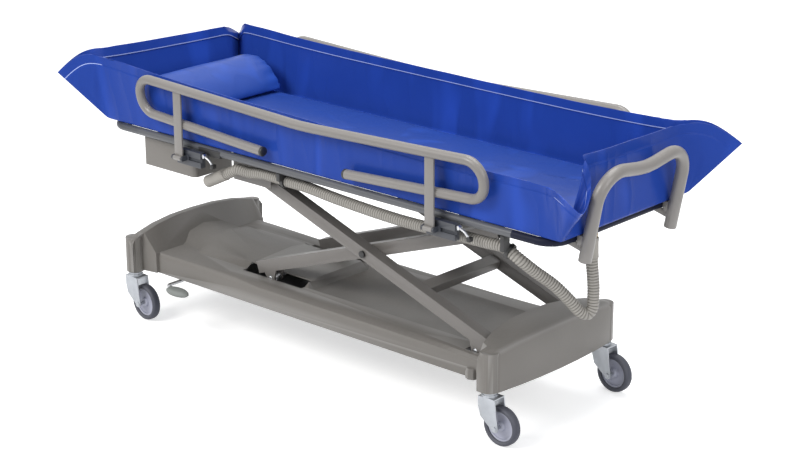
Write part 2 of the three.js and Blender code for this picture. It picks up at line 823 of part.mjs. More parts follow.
function pedalPad() {
  const rings = [];
  const level_shares = [[0.82, 0], [1, 0.3], [0.98, 0.6], [0.8, 0.88], [0.4, 1]];
  for (const [width, height] of level_shares) {
    const ring = [];
    for (let i = 0; i < 18; i += 1) {
      const turn = (2 * Math.PI * i) / 18;
      ring.push([pad_x + pad_half_l * width * Math.cos(turn), pad_y + pad_half_w * width * Math.sin(turn),
        pad_z + pad_h * (height - 0.5)]);
    }
    rings.push(ring);
  }
  return loft(rings);
}

add("pedal_pad", pedalPad(), pedal_grey);
const pad_socket = solid(pedalPad());
add("pedal_lever", shaped(lever.subtract(grown(pad_socket))), steel_bright);

// A body made larger all round its own middle by the touch gap
function grown(body) {
  const box = body.boundingBox();
  const middle = [0, 1, 2].map((k) => (box.min[k] + box.max[k]) / 2);
  const scale = [0, 1, 2].map((k) => 1 + (2 * touch) / (box.max[k] - box.min[k]) * 1.5);
  return body.translate(middle.map((v) => -v)).scale(scale).translate(middle);
}

// Scissor arms. Along an arm, s runs from the cross bolt towards its upper end and n is square to it.
function armPlace(rise, s, n) {
  const along = s * Math.cos(arm_tilt) - n * Math.sin(arm_tilt);
  return [cross_x + rise * along, cross_z + s * Math.sin(arm_tilt) + n * Math.cos(arm_tilt)];
}

function armPlate(rise, points, y0, y1) {
  return plateY(points.map(([s, n]) => armPlace(rise, s, n)), y0, y1);
}

function lugOutline(end) {
  const points = [[end * (pivot_s + lug_foot_w - lug_root), end * (arm_half - lug_root)]];
  for (let k = 0; k <= 4; k += 1) {
    const turn = (Math.PI * k) / 4;
    points.push([end * (pivot_s + lug_r * Math.cos(turn)), end * (lug_reach + lug_r * Math.sin(turn))]);
  }
  points.push([end * (pivot_s - lug_foot_w - lug_root), end * (arm_half - lug_root)]);
  return points;
}

function arm(rise, y, low_over) {
  const low = -pivot_s - low_over;
  const high = pivot_s + arm_over;
  const bore = arm_half - arm_wall;
  const outside = [[low, -arm_half], [high, -arm_half], [high, arm_half], [low, arm_half]];
  const inside = [[low - overrun, -bore], [high + overrun, -bore], [high + overrun, bore], [low - overrun, bore]];
  let body = cut(solid(armPlate(rise, outside, y - arm_half, y + arm_half)),
    armPlate(rise, inside, y - bore, y + bore));
  for (const end of [-1, 1]) {
    for (const side of [-1, 1]) {
      const plate = armPlate(rise, lugOutline(end), y + side * (arm_half - lug_t), y + side * arm_half);
      body = body.add(solid(plate));
    }
    const [x, z] = armPlace(rise, end * pivot_s, end * lug_reach);
    body = cut(body, barY(x, z, around(axle_r, 8), y - arm_w, y + arm_w, 8));
  }
  return shaped(cut(body, barY(cross_x, cross_z, around(bolt_r, 8), y - arm_w, y + arm_w, 8)));
}

const rise_to_head = -1;
const rise_to_foot = 1;
add("outer_arm_near", arm(rise_to_head, near * outer_arm_y, arm_over), paint_grey);
add("outer_arm_far", arm(rise_to_head, far * outer_arm_y, arm_over), paint_grey);
add("inner_arm_near", arm(rise_to_foot, near * inner_arm_y, inner_arm_low_over), paint_grey);
add("inner_arm_far", arm(rise_to_foot, far * inner_arm_y, inner_arm_low_over), paint_grey);

const tie_half_y = outer_arm_y - arm_half - touch;
const tie_s = -arm_tie_place;
const tie = [[tie_s - arm_tie_w / 2, -arm_tie_h / 2], [tie_s + arm_tie_w / 2, -arm_tie_h / 2],
  [tie_s + arm_tie_w / 2, arm_tie_h / 2], [tie_s - arm_tie_w / 2, arm_tie_h / 2]];
add("outer_arm_cross_tube", armPlate(rise_to_head, tie, -tie_half_y, tie_half_y), paint_grey);

function rollerAxle(z, y) {
  const end_y = y + arm_half + axle_over;
  let axle = solid(barY(roller_x, z, axle_r, -end_y, end_y, 8));
  for (const side of [near, far]) {
    axle = axle.add(solid(barY(roller_x, z, roller_r, side * y - roller_w / 2, side * y + roller_w / 2, 14)));
  }
  return shaped(axle);
}

add("upper_roller_axle", rollerAxle(bed_pivot_z, outer_arm_y), steel_bright);
add("lower_roller_axle", rollerAxle(base_pivot_z, inner_arm_y), steel_bright);

function crossBolt(side) {
  const outer = outer_arm_y + arm_half + touch;
  const inner = inner_arm_y - arm_half - touch;
  return shaped(joined(
    barY(cross_x, cross_z, bolt_r, side * (inner - bolt_head_h), side * (outer + bolt_head_h), 8),
    barY(cross_x, cross_z, bolt_head_r, side * outer, side * (outer + bolt_head_h), 16),
    barY(cross_x, cross_z, bolt_head_r, side * (inner - bolt_head_h), side * inner, 6)));
}

add("scissor_bolt_near", crossBolt(near), black_plastic);
add("scissor_bolt_far", crossBolt(far), black_plastic);

// Long members: box tubes that the upper rollers run under, with guard plates outside the rollers
function longMember(side) {
  const y = side * outer_arm_y;
  const half = long_w / 2;
  const tube = cut(solid(block(long_head_x, long_foot_x, y - half, y + half, roller_track_z, long_top_z)),
    block(long_head_x - overrun, long_foot_x + overrun, y - half + long_wall, y + half - long_wall,
      roller_track_z + long_wall, long_top_z - long_wall));
  const face = y + side * (half - long_wall / 2);
  const out = y + side * (half + guard_out);
  const flange = block(guard_head_x, guard_foot_x, face, out, roller_track_z, roller_track_z + guard_t);
  const plate = block(guard_head_x, guard_foot_x, out - side * guard_t, out,
    roller_track_z - guard_drop, roller_track_z + guard_t);
  return shaped(tube.add(joined(flange, plate)));
}

add("long_member_near", longMember(near), paint_grey);
add("long_member_far", longMember(far), paint_grey);

// Cross members carry the side tubes on saddles, and end in the brackets that the side rails hinge on
function railBracket(post_x, side) {
  const inner = side * bracket_y;
  const outer = side * (bracket_y + bracket_t);
  const low = bracket_z;
  const start = post_x - bracket_back;
  const stop = post_x + bracket_run;
  let body = cut(solid(block(start, stop, inner, outer, low, low + bracket_h)),
    block(post_x + bracket_back + ear_t, stop + overrun, outer - side * slit_depth, outer + side * overrun,
      slit_z, slit_z + slit_h));
  const hinge_y = side * rail_hinge_y;
  const ear_in = post_w / 2 + ear_gap;
  for (const way of [-1, 1]) {
    const x0 = post_x + way * ear_in;
    const x1 = post_x + way * (ear_in + ear_t);
    const tongue = block(x0, x1, outer - side * slit_depth, hinge_y, rail_hinge_z - barrel_r, rail_hinge_z + barrel_r);
    body = body.add(joined(tongue, barX(hinge_y, rail_hinge_z, barrel_r, x0, x1, 10)));
  }
  const pin_end = ear_in + ear_t / 2;
  return body.add(solid(barX(hinge_y, rail_hinge_z, hinge_pin_r, post_x - pin_end, post_x + pin_end, 6)));
}

const cross_head_x = post_head_x + cross_w / 2 + bracket_back / 2;
const cross_foot_x = foot_pivot_x - lug_r - cross_lug_gap - cross_w / 2 - cross_lug_gap;

function crossMember(middle_x, post_x) {
  const low = cross_top_z - cross_h;
  let body = solid(block(middle_x - cross_w / 2, middle_x + cross_w / 2, -bracket_y, bracket_y, low, cross_top_z));
  for (const side of [near, far]) {
    const y = side * side_tube_y;
    const pad = block(middle_x - cross_w / 2, middle_x + cross_w / 2, y - saddle_w / 2, y + saddle_w / 2,
      cross_top_z - cross_h / 2, frame_low_z - touch);
    body = body.add(solid(pad)).add(railBracket(post_x, side));
  }
  return body;
}

add("cross_member_head", shaped(crossMember(cross_head_x, post_head_x)), paint_grey);

let foot_member = crossMember(cross_foot_x, post_foot_x);
for (const side of [near, far]) {
  for (const [in_y, out_y] of [
    [inner_arm_y + arm_half + cross_lug_gap, inner_arm_y + arm_half + cross_lug_gap + cross_lug_t],
    [inner_arm_y - arm_half - cross_lug_gap - cross_lug_t, inner_arm_y - arm_half - cross_lug_gap]]) {
    const arm_block = block(cross_foot_x, foot_pivot_x, side * in_y, side * out_y,
      bed_pivot_z - cross_lug_r, cross_top_z);
    const eye = barY(foot_pivot_x, bed_pivot_z, cross_lug_r, side * in_y, side * out_y);
    foot_member = foot_member.add(joined(arm_block, eye));
  }
}
foot_member = cut(foot_member, barY(foot_pivot_x, bed_pivot_z, around(axle_r, 8), -outer_arm_y, outer_arm_y, 8));
add("cross_member_foot", shaped(foot_member), paint_grey);

const bed_shaft_y = inner_arm_y + arm_half + cross_lug_gap + cross_lug_t + axle_over;
add("stretcher_pivot_shaft", barY(foot_pivot_x, bed_pivot_z, axle_r, -bed_shaft_y, bed_shaft_y, 8), steel_bright);

// Bed frame tubes: a straight tube along each side and a bow round each end
for (const [name, side] of [["near", near], ["far", far]]) {
  const ends = [[-bow_joint_x + touch / 2, side * side_tube_y, frame_tube_z],
    [bow_joint_x - touch / 2, side * side_tube_y, frame_tube_z]];
  add(`side_tube_${name}`, pipe(new BentRoute(ends, frame_corner_r), frame_tube_r, frame_tube_wall, frame_tube_sides, 6), frame_blue);
}

function endBow(end) {
  const start = end * (bow_joint_x + touch / 2);
  const stop = end * end_tube_x;
  return pipe(new BentRoute([[start, -side_tube_y, frame_tube_z], [stop, -side_tube_y, frame_tube_z],
    [stop, side_tube_y, frame_tube_z], [start, side_tube_y, frame_tube_z]], frame_corner_r),
  frame_tube_r, frame_tube_wall, frame_tube_sides, 6);
}

add("head_end_bow", endBow(head), frame_blue);
add("foot_end_bow", endBow(foot), frame_blue);

const platform_x = end_tube_x - frame_tube_r - touch;
add("bed_platform", pillar(-platform_x, platform_x, -platform_half_y, platform_half_y, platform_z, frame_top_z,
  frame_corner_r), cover_grey);

// Hoops bolted to the end bows by short plates
function endHoop(end, low_z) {
  const top_x = end * hoop_top_x;
  const low_x = top_x - end * hoop_lean_share * (hoop_top_z - low_z);
  const route = new BentRoute([[low_x, -hoop_leg_y, low_z], [top_x, -hoop_leg_y, hoop_top_z],
    [top_x, 0, hoop_top_z - hoop_dip], [top_x, hoop_leg_y, hoop_top_z], [low_x, hoop_leg_y, low_z]],
  [hoop_bend_r, hoop_bend_r * 8, hoop_bend_r]);
  let body = solid(pipe(route, hoop_r, 0, 10));
  const plate_in = end * (end_tube_x + frame_tube_r + touch);
  const plate_out = low_x + end * (hoop_lean_share * (frame_tube_z - low_z) - hoop_r / 2);
  const plate_top = frame_top_z - touch;
  for (const side of [near, far]) {
    const y = side * hoop_leg_y;
    body = body.add(solid(block(plate_in, plate_out, y - hoop_plate_w / 2, y + hoop_plate_w / 2,
      plate_top - hoop_plate_h, plate_top)));
  }
  const bore = solid(pipe(route, hoop_r - hoop_wall, 0, 6));
  return shaped(body.subtract(bore));
}

add("foot_hoop", endHoop(foot, hoop_foot_low_z), paint_grey);
add("head_hoop", endHoop(head, hoop_head_low_z), paint_grey);

// Tub. Every corner has five rim points: two wall ends, the crease tip and one point between each.
function cornerPoints(end, side) {
  const floor = [end * liner_floor_x, side * liner_floor_y, liner_z];
  const wall_h = liner_rim_z - liner_z;
  const arc = [0, 1, 2, 3, 4].map((k) => {
    const turn = (Math.PI * k) / 8;
    return [floor[0] - end * liner_corner_r * (1 - Math.sin(turn)),
      floor[1] - side * liner_corner_r * (1 - Math.cos(turn)), liner_z];
  });
  if (end === foot && side === near) {
    const rim = slump_shares.map(([dx, dy, dz]) => [floor[0] + dx * wall_h, floor[1] + dy * wall_h,
      floor[2] + dz * wall_h]);
    return { arc, rim };
  }
  const rim_x = end * (end === foot ? liner_rim_foot_x : liner_rim_head_x);
  const rim_y = side * liner_rim_y;
  const rim_z = liner_rim_z + liner_rim_rise;
  const long_end = [rim_x - end * flap_set_back, rim_y, rim_z];
  const short_end = [rim_x, rim_y - side * flap_set_back, rim_z];
  const tip = [end * flap_tip_x, side * flap_tip_y, flap_tip_z];
  const between = (a, b) => [mix(a[0], b[0], 0.5), mix(a[1], b[1], 0.5), mix(a[2], b[2], 0.5) - flap_sag];
  return { arc, rim: [long_end, between(long_end, tip), tip, between(tip, short_end), short_end] };
}

const long_wall_count = 7;
const short_wall_count = 3;
const liner_corners = [[foot, near], [foot, far], [head, far], [head, near]].map(([end, side], i) => {
  const { arc, rim } = cornerPoints(end, side);
  return i % 2 === 0 ? { arc, rim } : { arc: arc.reverse(), rim: rim.reverse() };
});

function wallPoints(from, to, count, level, sag) {
  const points = [];
  for (let k = 1; k <= count; k += 1) {
    const t = k / (count + 1);
    const drop = sag * (1 - (1 - 4 * t * (1 - t)) ** 2) * level;
    points.push([mix(from[0], to[0], t), mix(from[1], to[1], t), mix(from[2], to[2], t) - drop]);
  }
  return points;
}

function linerRing(level, inset) {
  const floor_z = liner_z + inset;
  const corners = liner_corners.map(({ arc, rim }) => arc.map((low, k) => {
    const point = low.map((v, axis) => mix(v, rim[k][axis], level));
    if (inset > 0) {
      const back = inset + (crease_back * [0, 0.5, 1, 0.5, 0][k]) * level;
      const away = Math.hypot(point[0], point[1]);
      const diagonal = Math.SQRT1_2;
      point[0] -= Math.sign(point[0]) * back * (k === 2 ? diagonal : 1) * (away > 0 ? 1 : 0);
      point[1] -= Math.sign(point[1]) * back * (k === 2 ? diagonal : 1);
      point[2] = mix(floor_z, rim[k][2], level);
    }
    return point;
  }));
  const ring = [];
  corners.forEach((corner, i) => {
    const next = corners[(i + 1) % corners.length];
    const count = i % 2 === 0 ? short_wall_count : long_wall_count;
    ring.push(...corner, ...wallPoints(corner[4], next[0], count, level, liner_rim_rise));
  });
  return ring;
}

const level_shares = [0, 0.36, 0.7, 1];
const outer_rings = level_shares.map((level) => linerRing(level, 0));
const inner_rings = level_shares.map((level) => linerRing(level, liner_t)).reverse();
add("tub_liner", loft(outer_rings.concat(inner_rings)), liner_blue);

// Mattress: rounded plan, sides drawn in at top and bottom, and a low crown
function cushionRing(half_x, half_y, r, middle_x, z, corner_steps = 5) {
  const ring = [];
  for (const [sx, sy, start] of [[1, 1, 0], [-1, 1, 1], [-1, -1, 2], [1, -1, 3]]) {
    for (let k = 0; k <= corner_steps; k += 1) {
      const turn = (Math.PI / 2) * (start + k / corner_steps);
      ring.push([middle_x + sx * (half_x - r) + r * Math.cos(turn), sy * (half_y - r) + r * Math.sin(turn), z]);
    }
  }
  return ring;
}

function mattress() {
  const half_x = (mattress_foot_x - mattress_head_x) / 2;
  const middle_x = (mattress_foot_x + mattress_head_x) / 2;
  const rings = [];
  for (const [draw, height] of [[1, 0], [0.15, 0.3], [0, 0.55], [0.3, 0.85], [1.4, 1]]) {
    const inset = mattress_draw * draw;
    rings.push(cushionRing(half_x - inset, mattress_half_y - inset, mattress_corner_r - inset, middle_x,
      mattress_z + mattress_edge_h * height));
  }
  for (const [share, crown] of [[0.9, 0.45], [0.7, 0.8], [0.35, 1]]) {
    rings.push(cushionRing(half_x - mattress_half_y * (1 - share), mattress_half_y * share,
      mattress_corner_r * share, middle_x, mattress_z + mattress_edge_h + mattress_crown * crown));
  }
  return loft(rings);
}

add("mattress", mattress(), cushion_blue);

// Pillow: a half-round bolster across the head end
function pillow() {
  const width = pillow_foot_x - pillow_head_x;
  const ends = pillow_end_shares.map(([away, size]) => [mix(pillow_flat_y, pillow_half_y, away), size]);
  const places = ends.concat(ends.slice().reverse().map(([y, size]) => [-y, size]));
  const rings = places.map(([y, size]) => pillow_section_shares.map(([along, up]) => {
    const x = pillow_head_x + width * (0.5 + (along - 0.5) * mix(0.7, 1, size));
    return [x, y, pillow_z + pillow_h * up * size];
  }));
  return loft(rings);
}

add("pillow", pillow(), cushion_blue);

// Control box hung under the long member, lower over its foot-side part
const box_top_z = roller_track_z - touch;
const box_shell = joined(
  pillar(box_head_x, box_foot_x, box_near_y, box_far_y, box_low_z, box_step_z, box_corner_r),
  pillar(box_head_x, box_step_x, box_near_y, box_far_y, box_low_z, box_top_z, box_corner_r));
add("control_box", shaped(box_shell), cover_grey);

// Drain outlet under the platform, and the soft cuff that joins the hose to it
add("drain_outlet", barZ(outlet_x, outlet_y, outlet_r, outlet_low_z, platform_z - touch), cover_grey);

const cuff = cut(solid(barZ(outlet_x, outlet_y, cuff_r, cuff_low_z, cuff_top_z)),
  barZ(outlet_x, outlet_y, outlet_r + 2 * touch, outlet_low_z - touch, cuff_top_z + overrun),
  barZ(outlet_x, outlet_y, hose_bore_r, cuff_low_z - overrun, cuff_top_z));
add("drain_cuff", shaped(cuff), hose_grey);

const end_way = hose_tip.clone().sub(hose_end_way).normalize();
const hose_end = hose_tip.clone().addScaledVector(end_way, -end_cuff_len - touch);
const hose_d = 2 * hose_r;
const hose_top_z = cuff_low_z - touch;
const hose_route = new THREE.CatmullRomCurve3([
  new THREE.Vector3(outlet_x, outlet_y, hose_top_z),
  new THREE.Vector3(outlet_x, outlet_y, hose_top_z - hose_d / 2),
  ...hose_points.map(([x, y, z]) => new THREE.Vector3(x, y, z)),
  hose_end.clone().addScaledVector(end_way, -hose_d * 1.6),
  hose_end.clone().addScaledVector(end_way, -hose_d),
  hose_end], false, "centripetal");
hose_route.arcLengthDivisions = 1200;

function ribbedHose() {
  const steps = hose_rib_count * 2;
  const frames = hose_route.computeFrenetFrames(steps, false);
  const points = hose_route.getSpacedPoints(steps);
  const ring = (i, r) => Array.from({ length: hose_side_count }, (none, k) => {
    const turn = (2 * Math.PI * k) / hose_side_count;
    const place = points[i].clone().addScaledVector(frames.normals[i], r * Math.cos(turn));
    return place.addScaledVector(frames.binormals[i], r * Math.sin(turn)).toArray();
  });
  const skin = points.map((point, i) => ring(i, i % 2 === 0 ? hose_valley_r : hose_r));
  const bore = [];
  for (let i = steps; i >= 0; i -= 2 * hose_bore_rib_count) bore.push(ring(i, hose_bore_r));
  const rings = skin.concat(bore, [skin[0]]);
  const places = [];
  const index = [];
  rings.slice(0, -1).forEach((one) => one.forEach((point) => places.push(...point)));
  for (let k = 0; k < rings.length - 1; k += 1) {
    for (let i = 0; i < hose_side_count; i += 1) {
      const j = (i + 1) % hose_side_count;
      const next = (k + 1) % (rings.length - 1);
      const [a, b] = [k * hose_side_count + i, k * hose_side_count + j];
      const [c, d] = [next * hose_side_count + j, next * hose_side_count + i];
      index.push(a, b, c, a, c, d);
    }
  }
  const geometry = new THREE.BufferGeometry();
  geometry.setAttribute("position", new THREE.Float32BufferAttribute(places, 3));
  geometry.setIndex(index);
  return faceOut(geometry);
}

add("drain_hose", ribbedHose(), hose_grey);

// Least gap between stretches of the hose that lie more than three diameters apart along it
function leastGap() {
  const count = 300;
  const points = hose_route.getSpacedPoints(count);
  const spacing = hose_route.getLength() / count;
  let least = Infinity;
  for (let i = 0; i < count; i += 1) {
    for (let j = i + Math.ceil((3 * hose_d) / spacing); j <= count; j += 1) {
      least = Math.min(least, points[i].distanceTo(points[j]) - hose_d);
    }
  }
  return least;
}

console.log(`hose length ${hose_route.getLength().toFixed(0)} mm, least gap to itself ${leastGap().toFixed(1)} mm`);

function endCuff() {
  const geometry = turned([[hose_bore_r, 0], [end_cuff_r, 0], [end_cuff_r, end_cuff_len],
    [hose_bore_r, end_cuff_len]], 16);
  geometry.applyQuaternion(new THREE.Quaternion().setFromUnitVectors(new THREE.Vector3(0, 1, 0), end_way));
  geometry.translate(hose_end.x + end_way.x * touch, hose_end.y + end_way.y * touch, hose_end.z + end_way.z * touch);
  return geometry;
}

add("hose_end_cuff", endCuff(), hose_grey);

// Clips: a band round the hose and a hook up to the side tube
function hoseClip(x) {
  let u = 0;
  let best = Infinity;
  for (let k = 0; k <= 2000; k += 1) {
    const away = Math.abs(hose_route.getPointAt(k / 2000).x - x);
    if (away < best && k > 400) {
      best = away;
      u = k / 2000;
    }
  }
  const place = hose_route.getPointAt(u);
  const way = hose_route.getTangentAt(u);
  const turn = new THREE.Quaternion().setFromUnitVectors(new THREE.Vector3(0, 1, 0), way);
  const bore_r = hose_r + clip_clear;
  const band = new THREE.CylinderGeometry(bore_r + clip_band_t, bore_r + clip_band_t, clip_w, 20);
  const bore = new THREE.CylinderGeometry(bore_r, bore_r, clip_w * 4, 20);
  for (const one of [band, bore]) {
    one.applyQuaternion(turn);
    one.translate(place.x, place.y, place.z);
  }
  const y = -side_tube_y;
  const hook = block(place.x - clip_hook_w / 2, place.x + clip_hook_w / 2, y - clip_hook_t / 2,
    place.y - bore_r / 2, place.z + bore_r * 0.3, frame_low_z - touch);
  return shaped(cut(joined(band, hook), bore));
}

add("hose_clip_head", hoseClip(clip_places[0]), black_plastic);
add("hose_clip_foot", hoseClip(clip_places[1]), black_plastic);

// Side rails: one bent tube with open stub ends, on two flat posts with hinge barrels
function railCorners(side, longer) {
  const low_y = side * rail_low_y;
  const top_y = side * rail_top_y;
  const stub_z = rail_low_z - rail_stub_drop;
  return [[rail_stub_head_x + longer, low_y, stub_z], [rail_head_x, low_y, rail_low_z], [rail_head_x, top_y, rail_top_z],
    [0, top_y, rail_top_z - rail_dip], [rail_foot_x, top_y, rail_top_z], [rail_foot_x, low_y, rail_low_z],
    [rail_stub_foot_x - longer, low_y, stub_z]];
}

function sideRail(side) {
  const bends = [rail_bend_r, rail_bend_r, rail_bend_r * 20, rail_bend_r, rail_bend_r];
  let body = solid(pipe(new BentRoute(railCorners(side, 0), bends), rail_r, 0, 10));
  const post_in = side * (rail_top_y - post_t / 2);
  const post_out = side * (rail_top_y + post_t / 2);
  for (const x of [post_head_x, post_foot_x]) {
    const dip_share = 1 - x / (x < 0 ? rail_head_x : rail_foot_x);
    const top = rail_top_z - rail_dip * dip_share;
    const post = block(x - post_w / 2, x + post_w / 2, post_in, post_out, post_low_z, top - rail_r / 2);
    const barrel = barX(side * rail_hinge_y, rail_hinge_z, barrel_r, x - post_w / 2, x + post_w / 2, 10);
    body = body.add(joined(post, barrel));
    body = cut(body, barX(side * rail_hinge_y, rail_hinge_z, around(hinge_pin_r, 8), x - post_w, x + post_w, 8));
  }
  const bore = new BentRoute(railCorners(side, overrun), bends);
  return shaped(body.subtract(solid(pipe(bore, rail_r - rail_wall, 0, 6))));
}

add("side_rail_near", sideRail(near), paint_grey);
add("side_rail_far", sideRail(far), paint_grey);

// Latches: a short bent lever on a boss at the foot-side end of each bracket
function railLatch(post_x, side) {
  const boss_x = post_x + bracket_run + touch + latch_boss_r;
  const middle_y = side * (bracket_y + bracket_t / 2);
  const boss = barY(boss_x, latch_z, latch_boss_r, middle_y - latch_boss_w / 2, middle_y + latch_boss_w / 2, 10);
  const rod = pipe(new BentRoute([[boss_x, middle_y, latch_z],
    [boss_x + latch_run, middle_y, latch_z - latch_drop],
    [boss_x + latch_run + latch_tip_run, middle_y, latch_z - latch_drop - latch_tip_drop]], latch_rod_r * 2),
  latch_rod_r, 0, 6);
  return shaped(joined(boss, rod));
}

for (const [end_name, post_x] of [["head", post_head_x], ["foot", post_foot_x]]) {
  for (const [side_name, side] of [["near", near], ["far", far]]) {
    add(`rail_latch_${side_name}_${end_name}`, railLatch(post_x, side), steel_bright);
  }
}

// Casters, each in its own frame: the stem is on the Z axis and the wheel trails towards +X
function casterFork() {
  const legs = [];
  const outline = [[-fork_back, fork_top_z], [-fork_back, fork_back_z], [-fork_heel_x, fork_heel_z],
    [fork_toe_x, fork_toe_z]];
  for (let k = 0; k <= 3; k += 1) {
    const turn = -Math.PI * 0.72 + (Math.PI * 0.76 * k) / 3;
    outline.push([caster_trail + fork_eye_r * Math.cos(turn), wheel_r + fork_eye_r * Math.sin(turn)]);
  }
  outline.push([fork_front, fork_top_z]);
  for (const side of [-1, 1]) {
    legs.push(plateY(outline, side * (fork_half_w - fork_t), side * fork_half_w));
    legs.push(barY(caster_trail, wheel_r, axle_nut_r, side * (fork_half_w - fork_t / 2),
      side * (fork_half_w + axle_nut_h), 6));
  }
  const crown = block(-fork_back, fork_front, -fork_half_w, fork_half_w, fork_top_z - fork_t, fork_top_z);
  const bearing = faceOut(closedLathe([[0, fork_top_z - fork_t / 2], [swivel_r, fork_top_z - fork_t / 2],
    [swivel_r, fork_top_z + swivel_h / 2], [swivel_r - swivel_round, fork_top_z + swivel_h / 2],
    [swivel_r - swivel_round, fork_top_z + swivel_h], [0, fork_top_z + swivel_h]]
    .map(([r, z]) => new THREE.Vector2(r, z)), 10, 0));
  bearing.rotateX(Math.PI / 2);
  const stem = barZ(0, 0, stem_r, fork_top_z, fork_top_z + swivel_h + stem_h, 10);
  const axle = barY(caster_trail, wheel_r, caster_axle_r, -fork_half_w, fork_half_w, 6);
  return shaped(joined(crown, bearing, stem, axle, ...legs));
}

const facet = 1 / Math.cos(Math.PI / wheel_sides);
const tyre_in_r = wheel_r - tyre_t;
const tyre_profile = [[tyre_in_r, -tyre_w / 2 + touch], [wheel_r - tread_round, -tyre_w / 2], [wheel_r, -tread_w / 2],
  [wheel_r, tread_w / 2], [wheel_r - tread_round, tyre_w / 2], [tyre_in_r, tyre_w / 2 - touch]];
const hub_r = tyre_in_r - touch;
const hub_bore = caster_axle_r + touch;
const hub_profile = [[hub_bore, -hub_w / 2], [hub_boss_r, -hub_w / 2], [hub_boss_r + hub_rim_t, -hub_web_w / 2],
  [hub_r, -hub_rim_w / 2], [hub_r, hub_rim_w / 2], [hub_boss_r + hub_rim_t, hub_web_w / 2],
  [hub_boss_r, hub_w / 2], [hub_bore, hub_w / 2]];

for (const [name, yaw] of Object.entries(caster_yaws)) {
  const caster = new THREE.Group();
  const x = name.endsWith("head") ? caster_head_x : caster_foot_x;
  const y = name.startsWith("near") ? near * caster_y : far * caster_y;
  caster.position.set(x, y, 0);
  caster.rotation.z = THREE.MathUtils.degToRad(yaw);
  const wheel = new THREE.Group();
  wheel.position.set(caster_trail, 0, wheel_r);
  caster.add(wheel);
  trolley.add(caster);
  add(`caster_fork_${name}`, casterFork(), fork_zinc, caster);
  add(`caster_tyre_${name}`, turned(tyre_profile.map(([r, w]) => [r * facet, w]), wheel_sides,
    Math.PI / wheel_sides), tyre_grey, wheel);
  add(`caster_hub_${name}`, turned(hub_profile, hub_sides), hub_grey, wheel);
}

export default trolley;
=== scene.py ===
"""Shower trolley: soft tub on a scissor lift, folding side rails, end hoops, drain hose and casters.

Laid out as an add-on. Every piece is made by an operator, in metres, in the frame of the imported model.
"""
import json
import math

import bpy
from bpy.props import FloatProperty, FloatVectorProperty, IntProperty, PointerProperty
from mathutils import Matrix, Vector, noise


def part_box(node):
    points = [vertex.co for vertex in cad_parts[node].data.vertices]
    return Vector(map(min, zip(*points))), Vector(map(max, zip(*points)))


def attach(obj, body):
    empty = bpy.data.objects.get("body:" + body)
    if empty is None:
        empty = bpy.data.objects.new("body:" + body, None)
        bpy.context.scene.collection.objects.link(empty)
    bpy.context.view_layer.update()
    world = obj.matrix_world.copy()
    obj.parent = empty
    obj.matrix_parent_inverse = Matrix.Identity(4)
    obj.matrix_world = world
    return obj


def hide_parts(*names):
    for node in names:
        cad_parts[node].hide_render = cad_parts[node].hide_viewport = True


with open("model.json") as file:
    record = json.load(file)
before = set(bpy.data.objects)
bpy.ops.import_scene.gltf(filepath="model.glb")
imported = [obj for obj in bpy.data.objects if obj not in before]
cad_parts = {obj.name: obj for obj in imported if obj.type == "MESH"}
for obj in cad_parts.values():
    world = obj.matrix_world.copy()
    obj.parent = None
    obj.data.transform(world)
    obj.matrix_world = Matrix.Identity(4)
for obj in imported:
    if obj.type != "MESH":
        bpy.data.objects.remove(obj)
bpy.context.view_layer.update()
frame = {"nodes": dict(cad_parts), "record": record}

bl_info = {
    "name": "Shower trolley",
    "version": (1, 0, 0),
    "blender": (4, 5, 0),
    "location": "3D View > Sidebar > Trolley",
    "description": "Builds a height-adjustable shower trolley piece by piece",
    "category": "Object",
}

NEAR, FAR = -1, 1
HEAD, FOOT = -1, 1
SIDES = (("near", NEAR), ("far", FAR))
ENDS = (("head", HEAD), ("foot", FOOT))
CORNERS = ("near_head", "far_head", "near_foot", "far_foot")

# Bed and rails
POST_X = {"head": -0.546, "foot": 0.513}
POST_W = 0.035
POST_T = 0.008
POST_LOW_Z = 0.638
HINGE_Y = 0.356
HINGE_Z = 0.646
RAIL_HEAD_X = -0.731
RAIL_FOOT_X = 0.706
RAIL_LOW_Y = 0.332
RAIL_TOP_Y = 0.350
RAIL_LOW_Z = 0.762
RAIL_TOP_Z = 0.879
RAIL_DIP = 0.027
RAIL_R = 0.015
RAIL_BEND_R = 0.057
RAIL_DIP_BEND_R = RAIL_BEND_R * 20
STUB_HEAD_X = -0.188
STUB_FOOT_X = 0.170
STUB_Z = 0.733
TUBE_Y = 0.300
TUBE_Z = 0.676
TUBE_R = 0.0124
BOW_JOINT_X = 0.780
BOW_X = 0.924
BOW_BEND_R = 0.060
BOW_REACH = 0.0133
HOOP_R = 0.019
HOOP_Y = 0.202
HOOP_FRAME_X = 0.958
HOOP_TOP_Z = 0.878
HOOP_LEAN = 0.1984
HOOP_LOW_Z = {"head": 0.642, "foot": 0.612}
HOOP_TOP_X = HOOP_FRAME_X + HOOP_LEAN * (HOOP_TOP_Z - HOOP_LOW_Z["foot"])
HOOP_DIP = 0.030
HOOP_BEND_R = 0.085
HOOP_DIP_BEND_R = HOOP_BEND_R * 3
HOOP_PLATE_Z = (0.6577, 0.6877)
HOOP_PLATE_HALF = 0.012

